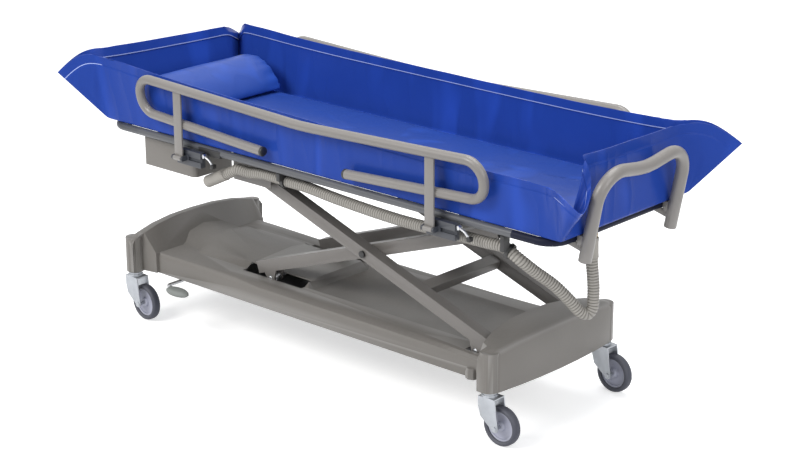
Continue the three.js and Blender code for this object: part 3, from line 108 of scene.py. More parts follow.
# Tub liner
LINER_Z = 0.6883
FLOOR_X = 0.952
FLOOR_Y = 0.302
FLOOR_R = 0.014
RIM_Z = 0.891
RIM_Y = 0.320
RIM_X = {"head": 0.986, "foot": 0.936}
RIM_RISE = 0.014
FLAP_BACK = 0.052
FLAP_TIP = (1.067, 0.417, 0.837)
FLAP_SHOULDER_Z = 0.908
FAR_DROP = 0.011
NOTCH_DROP = 0.046
HEAD_NEAR_RISE = 0.014
SHORT_SAG_SHARE = 0.25
HEM_LEVEL = 0.845
HEM_BULGE = 0.003
CORNER_COUNT = 9
SLUMP_SHARES = ((-0.16, -0.06, 0.78), (0.29, -0.29, 0.7), (0.46, -0.13, 0.515), (0.1, 0.54, 0.66),
                (-0.02, 0.48, 1.13))
FLOOR_CREASE_SHARES = (0.985, 0.955)
CREASE_ZONE = 0.075
CREASE_RATE = 46
TIP_CALM = 0.012
PUSH_LIMIT = 0.006
HEM_RAMP = 0.01
WALL_END_CREASE = 0.7
# Colour of the highlight line painted along the hem's lower edge.
HEM_HIGHLIGHT_COLOUR = (0.5, 0.6, 0.95, 1)

# Mattress and pillow
MATTRESS_X = (-0.925, 0.905)
MATTRESS_Y = 0.262
MATTRESS_Z = 0.6916
MATTRESS_EDGE = 0.020
MATTRESS_CROWN = 0.005
MATTRESS_CORNER_R = 0.04
PILLOW_X = (-0.905, -0.690)
PILLOW_Z = 0.7169
PILLOW_H = 0.117
PILLOW_Y = 0.253
PILLOW_FLAT_Y = 0.174
PILLOW_GATHER = 0.0016
PILLOW_LUMP = 0.0022
PILLOW_INSET = 0.0015
PILLOW_SECTION = ((0.06, 0), (0, 0.14), (0.015, 0.42), (0.09, 0.72), (0.22, 0.92), (0.38, 1), (0.56, 0.98),
                  (0.73, 0.83), (0.88, 0.56), (0.975, 0.28), (1, 0.1), (0.95, 0))

# Drain hose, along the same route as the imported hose
HOSE_R = 0.018
HOSE_SPAN_STEPS = 24
HOSE_START = (0.894, -0.084, 0.5777)
HOSE_TIP = Vector((-0.490, -0.282, 0.562))
HOSE_END_FROM = Vector((-0.404, -0.280, 0.604))
HOSE_CUFF_LEN = 0.094
HOSE_CUFF_GAP = 0.0003
HOSE_LENGTH = 1.651
HOSE_POINTS = (
    (0.896, -0.082, 0.530), (0.898, -0.079, 0.485), (0.898, -0.079, 0.452), (0.897, -0.081, 0.426),
    (0.890, -0.091, 0.407), (0.877, -0.111, 0.416), (0.859, -0.139, 0.454), (0.832, -0.177, 0.503),
    (0.799, -0.226, 0.551), (0.771, -0.263, 0.592), (0.730, -0.272, 0.617), (0.660, -0.275, 0.618),
    (0.526, -0.276, 0.616), (0.332, -0.276, 0.612), (0.088, -0.276, 0.622), (-0.060, -0.273, 0.632),
    (-0.146, -0.272, 0.633), (-0.200, -0.272, 0.635), (-0.251, -0.272, 0.634), (-0.305, -0.274, 0.627))

# Casters
CASTER_X = {"head": -0.877, "foot": 0.677}
CASTER_Y = 0.272
CASTER_TRAIL = 0.038
CASTER_YAW = {"near_head": -4, "far_head": -5, "near_foot": 1, "far_foot": -2}
WHEEL_R = 0.061
# Half profiles, from the outer face inwards, with the distance from the wheel's middle as the second number;
# the first is the depth under the tread for the tyre and the radius for the hub
TYRE_HALF = ((0.014, 0.012), (0.009, 0.0148), (0.0045, 0.0138), (0.0016, 0.0112), (0.0003, 0.007))
HUB_HALF = ((0.0085, 0.017), (0.0125, 0.0165), (0.014, 0.015), (0.0165, 0.008), (0.021, 0.0062),
            (0.036, 0.0062), (0.0395, 0.0075), (0.0405, 0.0122), (0.0415, 0.0128), (0.0462, 0.0122),
            (0.0468, 0.011))

# Small trim
GUIDE_BOX = ((-0.497, -0.3135, 0.6605), (-0.397, -0.2865, 0.6835))
TRAY_BOX = ((-0.62, -0.2, 0.1705), (0.12, 0.2, 0.1725))
GUSSET_X = (0.858, 0.953)
GUSSET_Z = (0.636, 0.662)
GUSSET_TOE_Z = 0.660
GUSSET_HALF = 0.004

# Camera, in degrees, pixels of the photo and metres
CAMERA_ANGLES = (42.38, 18.76, -0.28)
CAMERA_AIM = (0.0661, 0.0148, 0.4414)
CAMERA_DISTANCE = 6.764
FOCAL_PIXELS = 2156.9
PHOTO_WIDTH = 800
SENSOR_WIDTH = 36

# Stage
FLOOR_GLOW = 0.55
WORLD_STRENGTH = 0.55


# Sizes and colours that a user would change

class TrolleyFinish(bpy.types.PropertyGroup):
    paint: FloatVectorProperty(name="Frame paint", description="Colour of the rails, arms and hoops",
                               subtype="COLOR", size=3, min=0, max=1, default=(0.192, 0.179, 0.168))
    frame: FloatVectorProperty(name="Bed tube paint", description="Colour of the tubes round the bed",
                               subtype="COLOR", size=3, min=0, max=1, default=(0.03, 0.034, 0.045))
    plastic: FloatVectorProperty(name="Base cover", description="Colour of the base cover and control box",
                                 subtype="COLOR", size=3, min=0, max=1, default=(0.157, 0.146, 0.133))
    liner: FloatVectorProperty(name="Tub liner", description="Colour of the glossy tub liner",
                               subtype="COLOR", size=3, min=0, max=1, default=(0.018, 0.056, 0.325))
    cushion: FloatVectorProperty(name="Mattress", description="Colour of the mattress cover",
                                 subtype="COLOR", size=3, min=0, max=1, default=(0.015, 0.05, 0.26))
    pillow: FloatVectorProperty(name="Pillow", description="Colour of the pillow cover",
                                subtype="COLOR", size=3, min=0, max=1, default=(0.016, 0.06, 0.315))
    hose: FloatVectorProperty(name="Hose", description="Colour of the ribbed drain hose",
                              subtype="COLOR", size=3, min=0, max=1, default=(0.31, 0.293, 0.265))


class TrolleyTub(bpy.types.PropertyGroup):
    thickness: FloatProperty(name="Sheet thickness", description="Thickness of the vinyl sheet",
                             subtype="DISTANCE", unit="LENGTH", min=0.001, max=0.006, default=0.0022)
    crease_depth: FloatProperty(name="Crease depth", description="Depth of the creases at the corners",
                                subtype="DISTANCE", unit="LENGTH", min=0, max=0.01, default=0.0045)
    ripple_depth: FloatProperty(name="Ripple depth", description="Depth of the soft ripples along the walls",
                                subtype="DISTANCE", unit="LENGTH", min=0, max=0.01, default=0.0016)


class TrolleyHose(bpy.types.PropertyGroup):
    rib_pitch: FloatProperty(name="Rib pitch", description="Distance from one rib of the hose to the next",
                             subtype="DISTANCE", unit="LENGTH", min=0.005, max=0.014, default=0.009)
    rib_depth: FloatProperty(name="Rib depth", description="Depth of the grooves between the ribs",
                             subtype="DISTANCE", unit="LENGTH", min=0.0005, max=0.004, default=0.0024)


class TrolleyWheels(bpy.types.PropertyGroup):
    sides: IntProperty(name="Wheel sides", description="Faces round each wheel", min=24, max=96, default=64)


# Shader node groups, each built once

def node_group(name, inputs, outputs):
    """An empty shader group with its sockets; returns the tree and its input and output nodes."""
    tree = bpy.data.node_groups.new(name, "ShaderNodeTree")
    for label, kind, value in inputs:
        socket = tree.interface.new_socket(name=label, in_out="INPUT", socket_type=kind)
        socket.default_value = value
    for label, kind in outputs:
        tree.interface.new_socket(name=label, in_out="OUTPUT", socket_type=kind)
    return tree, tree.nodes.new("NodeGroupInput"), tree.nodes.new("NodeGroupOutput")


def math_node(tree, operation, a, b=None):
    node = tree.nodes.new("ShaderNodeMath")
    node.operation = operation
    for i, value in enumerate((a, b)):
        if value is None:
            continue
        if isinstance(value, (int, float)):
            node.inputs[i].default_value = value
        else:
            tree.links.new(value, node.inputs[i])
    return node.outputs[0]


def noise_node(tree, vector, scale, detail=2.0, roughness=0.5):
    node = tree.nodes.new("ShaderNodeTexNoise")
    node.inputs["Detail"].default_value = detail
    node.inputs["Roughness"].default_value = roughness
    tree.links.new(vector, node.inputs["Vector"])
    if isinstance(scale, (int, float)):
        node.inputs["Scale"].default_value = scale
    else:
        tree.links.new(scale, node.inputs["Scale"])
    return node.outputs["Fac"]


def mix_colour(tree, factor, a, b, blend="MIX"):
    node = tree.nodes.new("ShaderNodeMix")
    node.data_type = "RGBA"
    node.blend_type = blend
    for socket, value in ((node.inputs[0], factor), (node.inputs[6], a), (node.inputs[7], b)):
        if isinstance(value, (int, float, tuple)):
            socket.default_value = value
        else:
            tree.links.new(value, socket)
    return node.outputs[2]


def range_node(tree, value, low, high, to_low=0.0, to_high=1.0):
    """Maps the range from low to high onto another one."""
    node = tree.nodes.new("ShaderNodeMapRange")
    tree.links.new(value, node.inputs["Value"])
    for label, number in (("From Min", low), ("From Max", high), ("To Min", to_low), ("To Max", to_high)):
        node.inputs[label].default_value = number
    return node.outputs[0]


def bump_node(tree, height, distance):
    node = tree.nodes.new("ShaderNodeBump")
    node.inputs["Strength"].default_value = 1.0
    node.inputs["Distance"].default_value = distance
    tree.links.new(height, node.inputs["Height"])
    return node


def uv_axes(tree, name):
    """The two coordinates of a named UV map."""
    uv = tree.nodes.new("ShaderNodeUVMap")
    uv.uv_map = name
    split = tree.nodes.new("ShaderNodeSeparateXYZ")
    tree.links.new(uv.outputs[0], split.inputs[0])
    return split.outputs["X"], split.outputs["Y"]


def grain_group():
    """Fine orange peel or moulded grain over a slow unevenness."""
    tree, entry, leave = node_group(
        "Surface Grain",
        [("Scale", "NodeSocketFloat", 600.0), ("Slow Scale", "NodeSocketFloat", 14.0),
         ("Slow Share", "NodeSocketFloat", 0.3)],
        [("Height", "NodeSocketFloat")])
    place = tree.nodes.new("ShaderNodeTexCoord").outputs["Object"]
    fine = noise_node(tree, place, entry.outputs["Scale"], 3.0, 0.6)
    slow = noise_node(tree, place, entry.outputs["Slow Scale"], 3.0, 0.5)
    low = math_node(tree, "MULTIPLY", slow, entry.outputs["Slow Share"])
    tree.links.new(math_node(tree, "ADD", fine, low), leave.inputs["Height"])
    return tree


def tone_group():
    """Uneven tone, a little dust in patches, and a painted highlight that pales the sharp edges."""
    tree, entry, leave = node_group(
        "Aged Tone With Painted Edge Highlight",
        [("Colour", "NodeSocketColor", (0.5, 0.5, 0.5, 1)),
         ("Dust Colour", "NodeSocketColor", (0.5, 0.48, 0.44, 1)),
         ("Edge Highlight Colour", "NodeSocketColor", (0.6, 0.58, 0.54, 1)), ("Patch Scale", "NodeSocketFloat", 6.0),
         ("Patch Share", "NodeSocketFloat", 0.2), ("Dust Share", "NodeSocketFloat", 0.1),
         ("Edge Highlight Share", "NodeSocketFloat", 0.3)],
        [("Colour", "NodeSocketColor"), ("Rough Mask", "NodeSocketFloat")])
    place = tree.nodes.new("ShaderNodeTexCoord").outputs["Object"]
    patch = noise_node(tree, place, entry.outputs["Patch Scale"], 4.0, 0.55)
    shade = range_node(tree, patch, 0.32, 0.68)
    darker = mix_colour(tree, 1.0, entry.outputs["Colour"], (0.72, 0.73, 0.75, 1), "MULTIPLY")
    tone = mix_colour(tree, math_node(tree, "MULTIPLY", shade, entry.outputs["Patch Share"]),
                      entry.outputs["Colour"], darker)
    geometry = tree.nodes.new("ShaderNodeNewGeometry")
    split = tree.nodes.new("ShaderNodeSeparateXYZ")
    tree.links.new(geometry.outputs["Normal"], split.inputs[0])
    up = math_node(tree, "MAXIMUM", split.outputs["Z"], 0.0)
    speck = noise_node(tree, place, 90.0, 5.0, 0.7)
    dust = math_node(tree, "MULTIPLY", math_node(tree, "MULTIPLY", up, speck), entry.outputs["Dust Share"])
    dusty = mix_colour(tree, dust, tone, entry.outputs["Dust Colour"])
    # Painted highlight: sharp edges, found by their pointiness, are paled towards a lighter colour.
    edge = range_node(tree, geometry.outputs["Pointiness"], 0.52, 0.6)
    rub = math_node(tree, "MULTIPLY", edge, entry.outputs["Edge Highlight Share"])
    tree.links.new(mix_colour(tree, rub, dusty, entry.outputs["Edge Highlight Colour"]), leave.inputs["Colour"])
    tree.links.new(math_node(tree, "ADD", patch, dust), leave.inputs["Rough Mask"])
    return tree


GROUPS = {}


def place_group(tree, key):
    makers = {"grain": grain_group, "tone": tone_group}
    if key not in GROUPS:
        GROUPS[key] = makers[key]()
    node = tree.nodes.new("ShaderNodeGroup")
    node.node_tree = GROUPS[key]
    return node


def rgba(colour):
    return (colour[0], colour[1], colour[2], 1.0)


def lighter(colour, share):
    return tuple(c + (1 - c) * share for c in colour[:3])


MATERIALS = {}


def finish(name, colour, rough, metal=0.0, grain=700.0, depth=0.0001, patch=0.2, dust=0.08, rub=0.25,
           coat=0.0, patch_scale=6.0, specular=0.5):
    """A material with uneven tone, dust, a painted highlight on its sharp edges and a fine grain."""
    if name in MATERIALS:
        return MATERIALS[name]
    material = bpy.data.materials.new(name)
    material.use_nodes = True
    tree = material.node_tree
    shader = tree.nodes["Principled BSDF"]
    shader.inputs["Metallic"].default_value = metal
    shader.inputs["Specular IOR Level"].default_value = specular
    shader.inputs["Coat Weight"].default_value = coat
    shader.inputs["Coat Roughness"].default_value = 0.12
    tone = place_group(tree, "tone")
    tone.inputs["Colour"].default_value = rgba(colour)
    tone.inputs["Dust Colour"].default_value = rgba(lighter(colour, 0.3))
    # The paler colour that is painted on sharp edges as a highlight.
    tone.inputs["Edge Highlight Colour"].default_value = rgba(lighter(colour, 0.25))
    for label, number in (("Patch Scale", patch_scale), ("Patch Share", patch), ("Dust Share", dust),
                          ("Edge Highlight Share", rub)):
        tone.inputs[label].default_value = number
    tree.links.new(tone.outputs["Colour"], shader.inputs["Base Color"])
    smoothest, roughest = max(rough - 0.05, 0.03), min(rough + 0.1, 1.0)
    worn = range_node(tree, tone.outputs["Rough Mask"], 0.3, 0.8, smoothest, roughest)
    tree.links.new(worn, shader.inputs["Roughness"])
    skin = place_group(tree, "grain")
    skin.inputs["Scale"].default_value = grain
    bump = bump_node(tree, skin.outputs["Height"], depth)
    tree.links.new(bump.outputs["Normal"], shader.inputs["Normal"])
    MATERIALS[name] = material
    return material


PAINT_GRAIN = 420.0
PAINT_DEPTH = 0.00008
# Share of the frame paint that the arms keep: painted shade for their place under the bed.
ARM_PAINTED_SHADE = 0.82
GROOVE_SHADE = 0.45


def colours():
    return bpy.context.scene.trolley_finish


def painted(name, colour, rough, **shares):
    """A painted finish with the fine grain that all the trolley's paints share."""
    return finish(name, colour, rough, grain=PAINT_GRAIN, depth=PAINT_DEPTH, **shares)


def satin_paint():
    return painted("Satin grey paint", colours().paint, 0.36, patch=0.14, dust=0.1, rub=0.2, coat=0.12)


# The frame paint darkened for the arms, as painted shade.
def arm_paint_painted_shade():
    shade = tuple(c * ARM_PAINTED_SHADE for c in colours().paint)
    return painted("Satin grey arm paint, painted shade", shade, 0.4, patch=0.16, dust=0.1, rub=0.2)


def bed_tube_paint():
    return painted("Dark bed tube paint", colours().frame, 0.4, patch=0.25)


# A much darker navy than the other bed tubes, for the foot bow: painted shade under the foot wall.
def painted_shade_bow_paint():
    return painted("Foot bow paint with painted shade", (0.005, 0.007, 0.022), 0.5, patch=0.2, dust=0.02, rub=0.03,
                   specular=0.15)


def moulded_plastic():
    return finish("Moulded grey plastic", colours().plastic, 0.42, grain=900.0, depth=0.00012, patch=0.22,
                  dust=0.16, rub=0.35, patch_scale=3.0)


def platform_board():
    return finish("Platform board", (0.02, 0.021, 0.032), 0.5, grain=300.0, depth=0.0002)


def dark_steel():
    return finish("Dark chassis steel", (0.09, 0.09, 0.095), 0.5, metal=0.6, grain=500.0, depth=0.0001)


def bright_steel():
    return finish("Bright steel", (0.55, 0.56, 0.58), 0.28, metal=1.0, grain=900.0, depth=0.00004, patch=0.2)


def brass():
    return finish("Dull brass", (0.3, 0.21, 0.1), 0.42, metal=0.9, grain=700.0, depth=0.00008, patch=0.4)


def black_plastic():
    return finish("Black plastic", (0.012, 0.012, 0.013), 0.42, grain=1000.0, depth=0.00008, patch=0.2,
                  dust=0.03, rub=0.05)


def hose_plastic():
    return finish("Ribbed hose plastic", colours().hose, 0.45, grain=800.0, depth=0.00006, patch=0.25,
                  dust=0.12, rub=0.15, patch_scale=9.0)


def ribbed_plastic(ribs):
    """The hose plastic with dirt and painted shade darkening its grooves, placed along the hose by its own
    UV map.
    """
    name = "Grooved hose plastic"
    if name in MATERIALS:
        return MATERIALS[name]
    material = finish(name, colours().hose, 0.42, grain=800.0, depth=0.00006, patch=0.25, dust=0.08, rub=0.3,
                      patch_scale=9.0)
    tree = material.node_tree
    along, _ = uv_axes(tree, "along")
    # Dirt and painted shade: the grooves between the ribs are darkened towards a darker copy of the hose
    # colour.
    phase = math_node(tree, "FRACT", math_node(tree, "MULTIPLY", along, float(ribs)))
    off_middle = math_node(tree, "ABSOLUTE", math_node(tree, "SUBTRACT", phase, 0.5))
    away = math_node(tree, "MULTIPLY", off_middle, 2.0)
    groove_shade = math_node(tree, "POWER", away, 2.5)
    shader = tree.nodes["Principled BSDF"]
    source = shader.inputs["Base Color"].links[0].from_socket
    shade = tuple(c * GROOVE_SHADE for c in colours().hose)
    tree.links.new(mix_colour(tree, groove_shade, source, rgba(shade)), shader.inputs["Base Color"])
    return material


def zinc():
    return finish("Zinc plated steel", (0.42, 0.44, 0.47), 0.36, metal=0.75, grain=260.0, depth=0.00006,
                  patch=0.35, patch_scale=40.0)


def hub_plastic():
    return finish("Wheel hub plastic", (0.42, 0.43, 0.52), 0.42, grain=900.0, depth=0.00008)


def tyre_rubber():
    return finish("Tyre rubber", (0.036, 0.039, 0.06), 0.55, grain=700.0, depth=0.00015, patch=0.3,
                  dust=0.25, patch_scale=18.0)


def pedal_rubber():
    return finish("Pedal rubber", (0.2, 0.215, 0.205), 0.6, grain=500.0, depth=0.0003, dust=0.2)


# Modelling helpers

def clear_selection():
    if bpy.context.object and bpy.context.object.mode != "OBJECT":
        bpy.ops.object.mode_set(mode="OBJECT")
    bpy.ops.object.select_all(action="DESELECT")


def select_only(*objects):
    clear_selection()
    for one in objects:
        one.select_set(True)
    bpy.context.view_layer.objects.active = objects[0]


def settle(piece, material, body, name, *nodes, smooth=40, slot=None):
    """Names a finished piece, gives it its material and lets it ride on its body."""
    select_only(piece)
    bpy.ops.object.transform_apply(location=True, rotation=True, scale=True)
    piece.name = name
    piece.data.name = name
    piece.data.materials.clear()
    piece.data.materials.append(material)
    bpy.ops.object.shade_smooth_by_angle(angle=math.radians(smooth))
    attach(piece, body)
    if nodes:
        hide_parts(*nodes)


def apply_bevel(piece, width, segments=2, angle=35):
    select_only(piece)
    bevel = piece.modifiers.new("Rounded edges", "BEVEL")
    bevel.width = width
    bevel.segments = segments
    bevel.limit_method = "ANGLE"
    bevel.angle_limit = math.radians(angle)
    bevel.miter_outer = "MITER_ARC"
    bpy.ops.object.modifier_apply(modifier=bevel.name)
    return piece


def joined(*pieces):
    select_only(*pieces)
    bpy.ops.object.join()
    return bpy.context.object


def turn_from_z(way):
    return Vector(way).to_track_quat("Z", "Y").to_euler()


def bent_tube(corners, radius, bends, sides=28, steps=9):
    """A round tube extruded along straight runs and spun round its bends, closed at both ends."""
    points = [Vector(p) for p in corners]
    ways = [(b - a).normalized() for a, b in zip(points, points[1:])]
    clear_selection()
    bpy.ops.mesh.primitive_circle_add(vertices=sides, radius=radius, fill_type="NGON", location=points[0],
                                      rotation=turn_from_z(ways[0]))
    tube = bpy.context.object
    bpy.ops.object.mode_set(mode="EDIT")
    here = points[0]
    for i, bend in enumerate(bends):
        angle = ways[i].angle(ways[i + 1])
        tangent = bend * math.tan(angle / 2)
        run = points[i + 1] - ways[i] * tangent - here
        bpy.ops.mesh.extrude_region_move(TRANSFORM_OT_translate={"value": run})
        here = here + run
        inward = (ways[i + 1] - ways[i] * ways[i].dot(ways[i + 1])).normalized()
        bpy.ops.mesh.spin(steps=max(2, round(steps * angle / (math.pi / 2))), dupli=False, angle=-angle,
                          center=here + inward * bend, axis=ways[i].cross(ways[i + 1]).normalized())
        here = points[i + 1] + ways[i + 1] * tangent
    bpy.ops.mesh.extrude_region_move(TRANSFORM_OT_translate={"value": points[-1] - here})
    bpy.ops.mesh.select_all(action="SELECT")
    bpy.ops.mesh.remove_doubles(threshold=0.00001)
    bpy.ops.mesh.normals_make_consistent(inside=False)
    bpy.ops.object.mode_set(mode="OBJECT")
    return tube


def turned(profile, centre, axis, sides=48, closed=False):
    """A round piece pulled up ring by ring from a circle: profile holds (radius, place along the axis)."""
    clear_selection()
    (r0, z0) = profile[0]
    bpy.ops.mesh.primitive_circle_add(vertices=sides, radius=r0, fill_type="NOTHING" if closed else "NGON",
                                      location=(0, 0, z0))
    piece = bpy.context.object
    bpy.ops.object.mode_set(mode="EDIT")
    radius, along = r0, z0
    for r, z in list(profile[1:]) + ([profile[0]] if closed else []):
        if closed:
            bpy.ops.mesh.extrude_edges_move(TRANSFORM_OT_translate={"value": (0, 0, z - along)})
        else:
            bpy.ops.mesh.extrude_region_move(TRANSFORM_OT_translate={"value": (0, 0, z - along)})
        if abs(r - radius) > 1e-9:
            bpy.ops.transform.resize(value=(r / radius, r / radius, 1), center_override=(0, 0, z))
        radius, along = r, z
    bpy.ops.mesh.select_all(action="SELECT")
    bpy.ops.mesh.remove_doubles(threshold=0.000001)
    bpy.ops.mesh.normals_make_consistent(inside=False)
    bpy.ops.object.mode_set(mode="OBJECT")
    piece.rotation_euler = turn_from_z(axis)
    piece.location = centre
    select_only(piece)
    bpy.ops.object.transform_apply(location=True, rotation=True, scale=True)
    return piece


def block(low, high, bevel=0.0, segments=2):
    """A block between two corners with rounded edges."""
    clear_selection()
    low, high = Vector(low), Vector(high)
    bpy.ops.mesh.primitive_cube_add(size=1, location=(low + high) / 2)
    piece = bpy.context.object
    piece.scale = high - low
    bpy.ops.object.transform_apply(location=True, rotation=True, scale=True)
    if bevel:
        bpy.ops.object.mode_set(mode="EDIT")
        bpy.ops.mesh.bevel(offset=bevel, segments=segments, profile=0.5, affect="EDGES")
        bpy.ops.object.mode_set(mode="OBJECT")
    return piece


def merged_copy(node):
    """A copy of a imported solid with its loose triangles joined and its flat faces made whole."""
    clear_selection()
    source = frame["nodes"][node]
    piece = source.copy()
    piece.data = source.data.copy()
    for key in list(piece.keys()):
        del piece[key]
    piece.parent = None
    piece.matrix_world = Matrix.Identity(4)
    bpy.context.scene.collection.objects.link(piece)
    piece.hide_render = False
    piece.hide_viewport = False
    select_only(piece)
    bpy.ops.object.mode_set(mode="EDIT")
    bpy.ops.mesh.select_all(action="SELECT")
    bpy.ops.mesh.remove_doubles(threshold=0.00001)
    bpy.ops.mesh.customdata_custom_splitnormals_clear()
    bpy.ops.mesh.dissolve_limited(angle_limit=math.radians(1.5))
    bpy.ops.object.mode_set(mode="OBJECT")
    return piece


def body_name(node):
    for name, members in frame["record"]["behaviour"]["bodies"].items():
        if node in members:
            return name
    raise RuntimeError(f"no body holds {node}")


def softened(node, material, width, segments=2, angle=35, smooth=35):
    """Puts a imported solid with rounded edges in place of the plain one."""
    piece = apply_bevel(merged_copy(node), width, segments, angle)
    settle(piece, material, body_name(node), f"{node}_formed", node, smooth=smooth)


# Drain hose

def hose_route(count):
    """Even points along the hose's centripetal curve, the cuff's direction and the place where it starts."""
    way = (HOSE_TIP - HOSE_END_FROM).normalized()
    end = HOSE_TIP - way * (HOSE_CUFF_LEN + HOSE_CUFF_GAP)
    start = Vector(HOSE_START)
    points = [start, start - Vector((0, 0, HOSE_R))] + [Vector(p) for p in HOSE_POINTS]
    points += [end - way * (HOSE_R * 3.2), end - way * (HOSE_R * 2), end]
    dense = []
    for i in range(len(points) - 1):
        p1, p2 = points[i], points[i + 1]
        p0 = points[i - 1] if i else p1 * 2 - p2
        p3 = points[i + 2] if i + 2 < len(points) else p2 * 2 - p1
        d0, d1, d2 = ((b - a).length ** 0.5 for a, b in ((p0, p1), (p1, p2), (p2, p3)))
        t1 = ((p1 - p0) / d0 - (p2 - p0) / (d0 + d1) + (p2 - p1) / d1) * d1
        t2 = ((p2 - p1) / d1 - (p3 - p1) / (d1 + d2) + (p3 - p2) / d2) * d1
        for k in range(HOSE_SPAN_STEPS):
            t = k / HOSE_SPAN_STEPS
            dense.append(p1 * (2 * t ** 3 - 3 * t ** 2 + 1) + t1 * (t ** 3 - 2 * t ** 2 + t)
                         + p2 * (-2 * t ** 3 + 3 * t ** 2) + t2 * (t ** 3 - t ** 2))
    dense.append(points[-1])
    run = [0.0]
    for a, b in zip(dense, dense[1:]):
        run.append(run[-1] + (b - a).length)
    even = []
    j = 0
    for k in range(count + 1):
        goal = run[-1] * k / count
        while j < len(run) - 2 and run[j + 1] < goal:
            j += 1
        share = (goal - run[j]) / max(run[j + 1] - run[j], 1e-9)
        even.append(dense[j].lerp(dense[j + 1], min(share, 1.0)))
    return even, way, end


def hose_mesh(points, pitch, depth, sides=20):
    """Rings of a ribbed hose, turned along the route without twist, with a UV map along it."""
    length = sum((b - a).length for a, b in zip(points, points[1:]))
    ring_count = len(points)
    verts, faces, uvs = [], [], []
    tangent = (points[1] - points[0]).normalized()
    normal = tangent.orthogonal().normalized()
    for i, point in enumerate(points):
        ahead = points[min(i + 1, ring_count - 1)] - points[max(i - 1, 0)]
        ahead.normalize()
        normal = (normal - ahead * normal.dot(ahead)).normalized()
        side = ahead.cross(normal)
        phase = (length * i / (ring_count - 1)) / pitch % 1.0
        bulge = math.sin(math.pi * phase) ** 0.55
        radius = HOSE_R - depth * (1 - bulge)
        for k in range(sides):
            turn = 2 * math.pi * k / sides
            verts.append(point + (normal * math.cos(turn) + side * math.sin(turn)) * radius)
    for i in range(ring_count - 1):
        for k in range(sides):
            j = (k + 1) % sides
            faces.append((i * sides + k, i * sides + j, (i + 1) * sides + j, (i + 1) * sides + k))
            uvs.append((i, k))
    faces.append(tuple(range(sides))[::-1])
    faces.append(tuple((ring_count - 1) * sides + k for k in range(sides)))
    mesh = bpy.data.meshes.new("drain_hose_ribbed")
    mesh.from_pydata(verts, [], faces)
    layer = mesh.uv_layers.new(name="along")
    for polygon, (i, k) in zip(mesh.polygons, uvs):
        for loop, (di, dk) in zip(polygon.loop_indices, ((0, 0), (0, 1), (1, 1), (1, 0))):
            layer.data[loop].uv = ((i + di) / (ring_count - 1), (k + dk) / sides)
    mesh.update()
    return mesh


class TROLLEY_OT_hose(bpy.types.Operator):
    """Make the ribbed drain hose with its end cuff, sleeve, outlet and clips"""
    bl_idname = "trolley.hose"
    bl_label = "Drain hose"
    bl_options = {"REGISTER", "UNDO"}

    def execute(self, context):
        sizes = context.scene.trolley_hose
        ribs = round(HOSE_LENGTH / sizes.rib_pitch)
        points, way, end = hose_route(ribs * 6)
        mesh = hose_mesh(points, HOSE_LENGTH / ribs, sizes.rib_depth)
        hose = bpy.data.objects.new("drain_hose_ribbed", mesh)
        context.scene.collection.objects.link(hose)
        settle(hose, ribbed_plastic(ribs), "stretcher", "drain_hose_ribbed", "drain_hose", smooth=60)
        r = HOSE_R
        long = HOSE_CUFF_LEN
        cuff = turned(((r - 0.001, -0.001), (r + 0.0012, 0), (r + 0.002, 0.001), (r + 0.002, 0.006),
                       (r + 0.0015, 0.008), (r + 0.0018, long - 0.003), (r + 0.001, long - 0.0005),
                       (r - 0.001, long), (r - 0.002, long - 0.002), (r - 0.0025, long - 0.03)),
                      end, way, 40)
        settle(cuff, hose_plastic(), "stretcher", "hose_end_sleeve", "hose_end_cuff", smooth=35)
        low, high = (Vector(c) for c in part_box("drain_cuff"))
        middle = (low + high) / 2
        sleeve = turned(((0.0182, 0), (0.0192, 0.001), (0.0192, 0.003), (0.0185, 0.006), (0.0176, 0.045),
                         (0.0184, 0.052), (0.0184, 0.058), (0.0176, 0.060), (0.015, 0.0605)),
                        (middle.x, middle.y, low.z), (0, 0, 1), 40)
        settle(sleeve, hose_plastic(), "stretcher", "drain_sleeve", "drain_cuff", smooth=35)
        low, high = (Vector(c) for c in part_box("drain_outlet"))
        outlet = turned(((0.0125, 0), (0.0145, 0.002), (0.0145, 0.024), (0.0152, 0.026), (0.0152, 0.036),
                         (0.0145, 0.038), (0.0145, high.z - low.z)),
                        (middle.x, middle.y, low.z), (0, 0, 1), 40)
        settle(outlet, brass(), "stretcher", "drain_fitting", "drain_outlet", smooth=35)
        for end_name, _ in ENDS:
            softened(f"hose_clip_{end_name}", black_plastic(), 0.0012)
        return {"FINISHED"}


# Tub liner

def densified(points):
    """The same row of points with one more between each two, on the smooth curve through them."""
    row = [points[0] * 2 - points[1]] + points + [points[-1] * 2 - points[-2]]
    dense = []
    for a, b, c, d in zip(row, row[1:], row[2:], row[3:]):
        dense += [b, (b + c) * (9 / 16) - (a + d) / 16]
    return dense + [points[-1]]


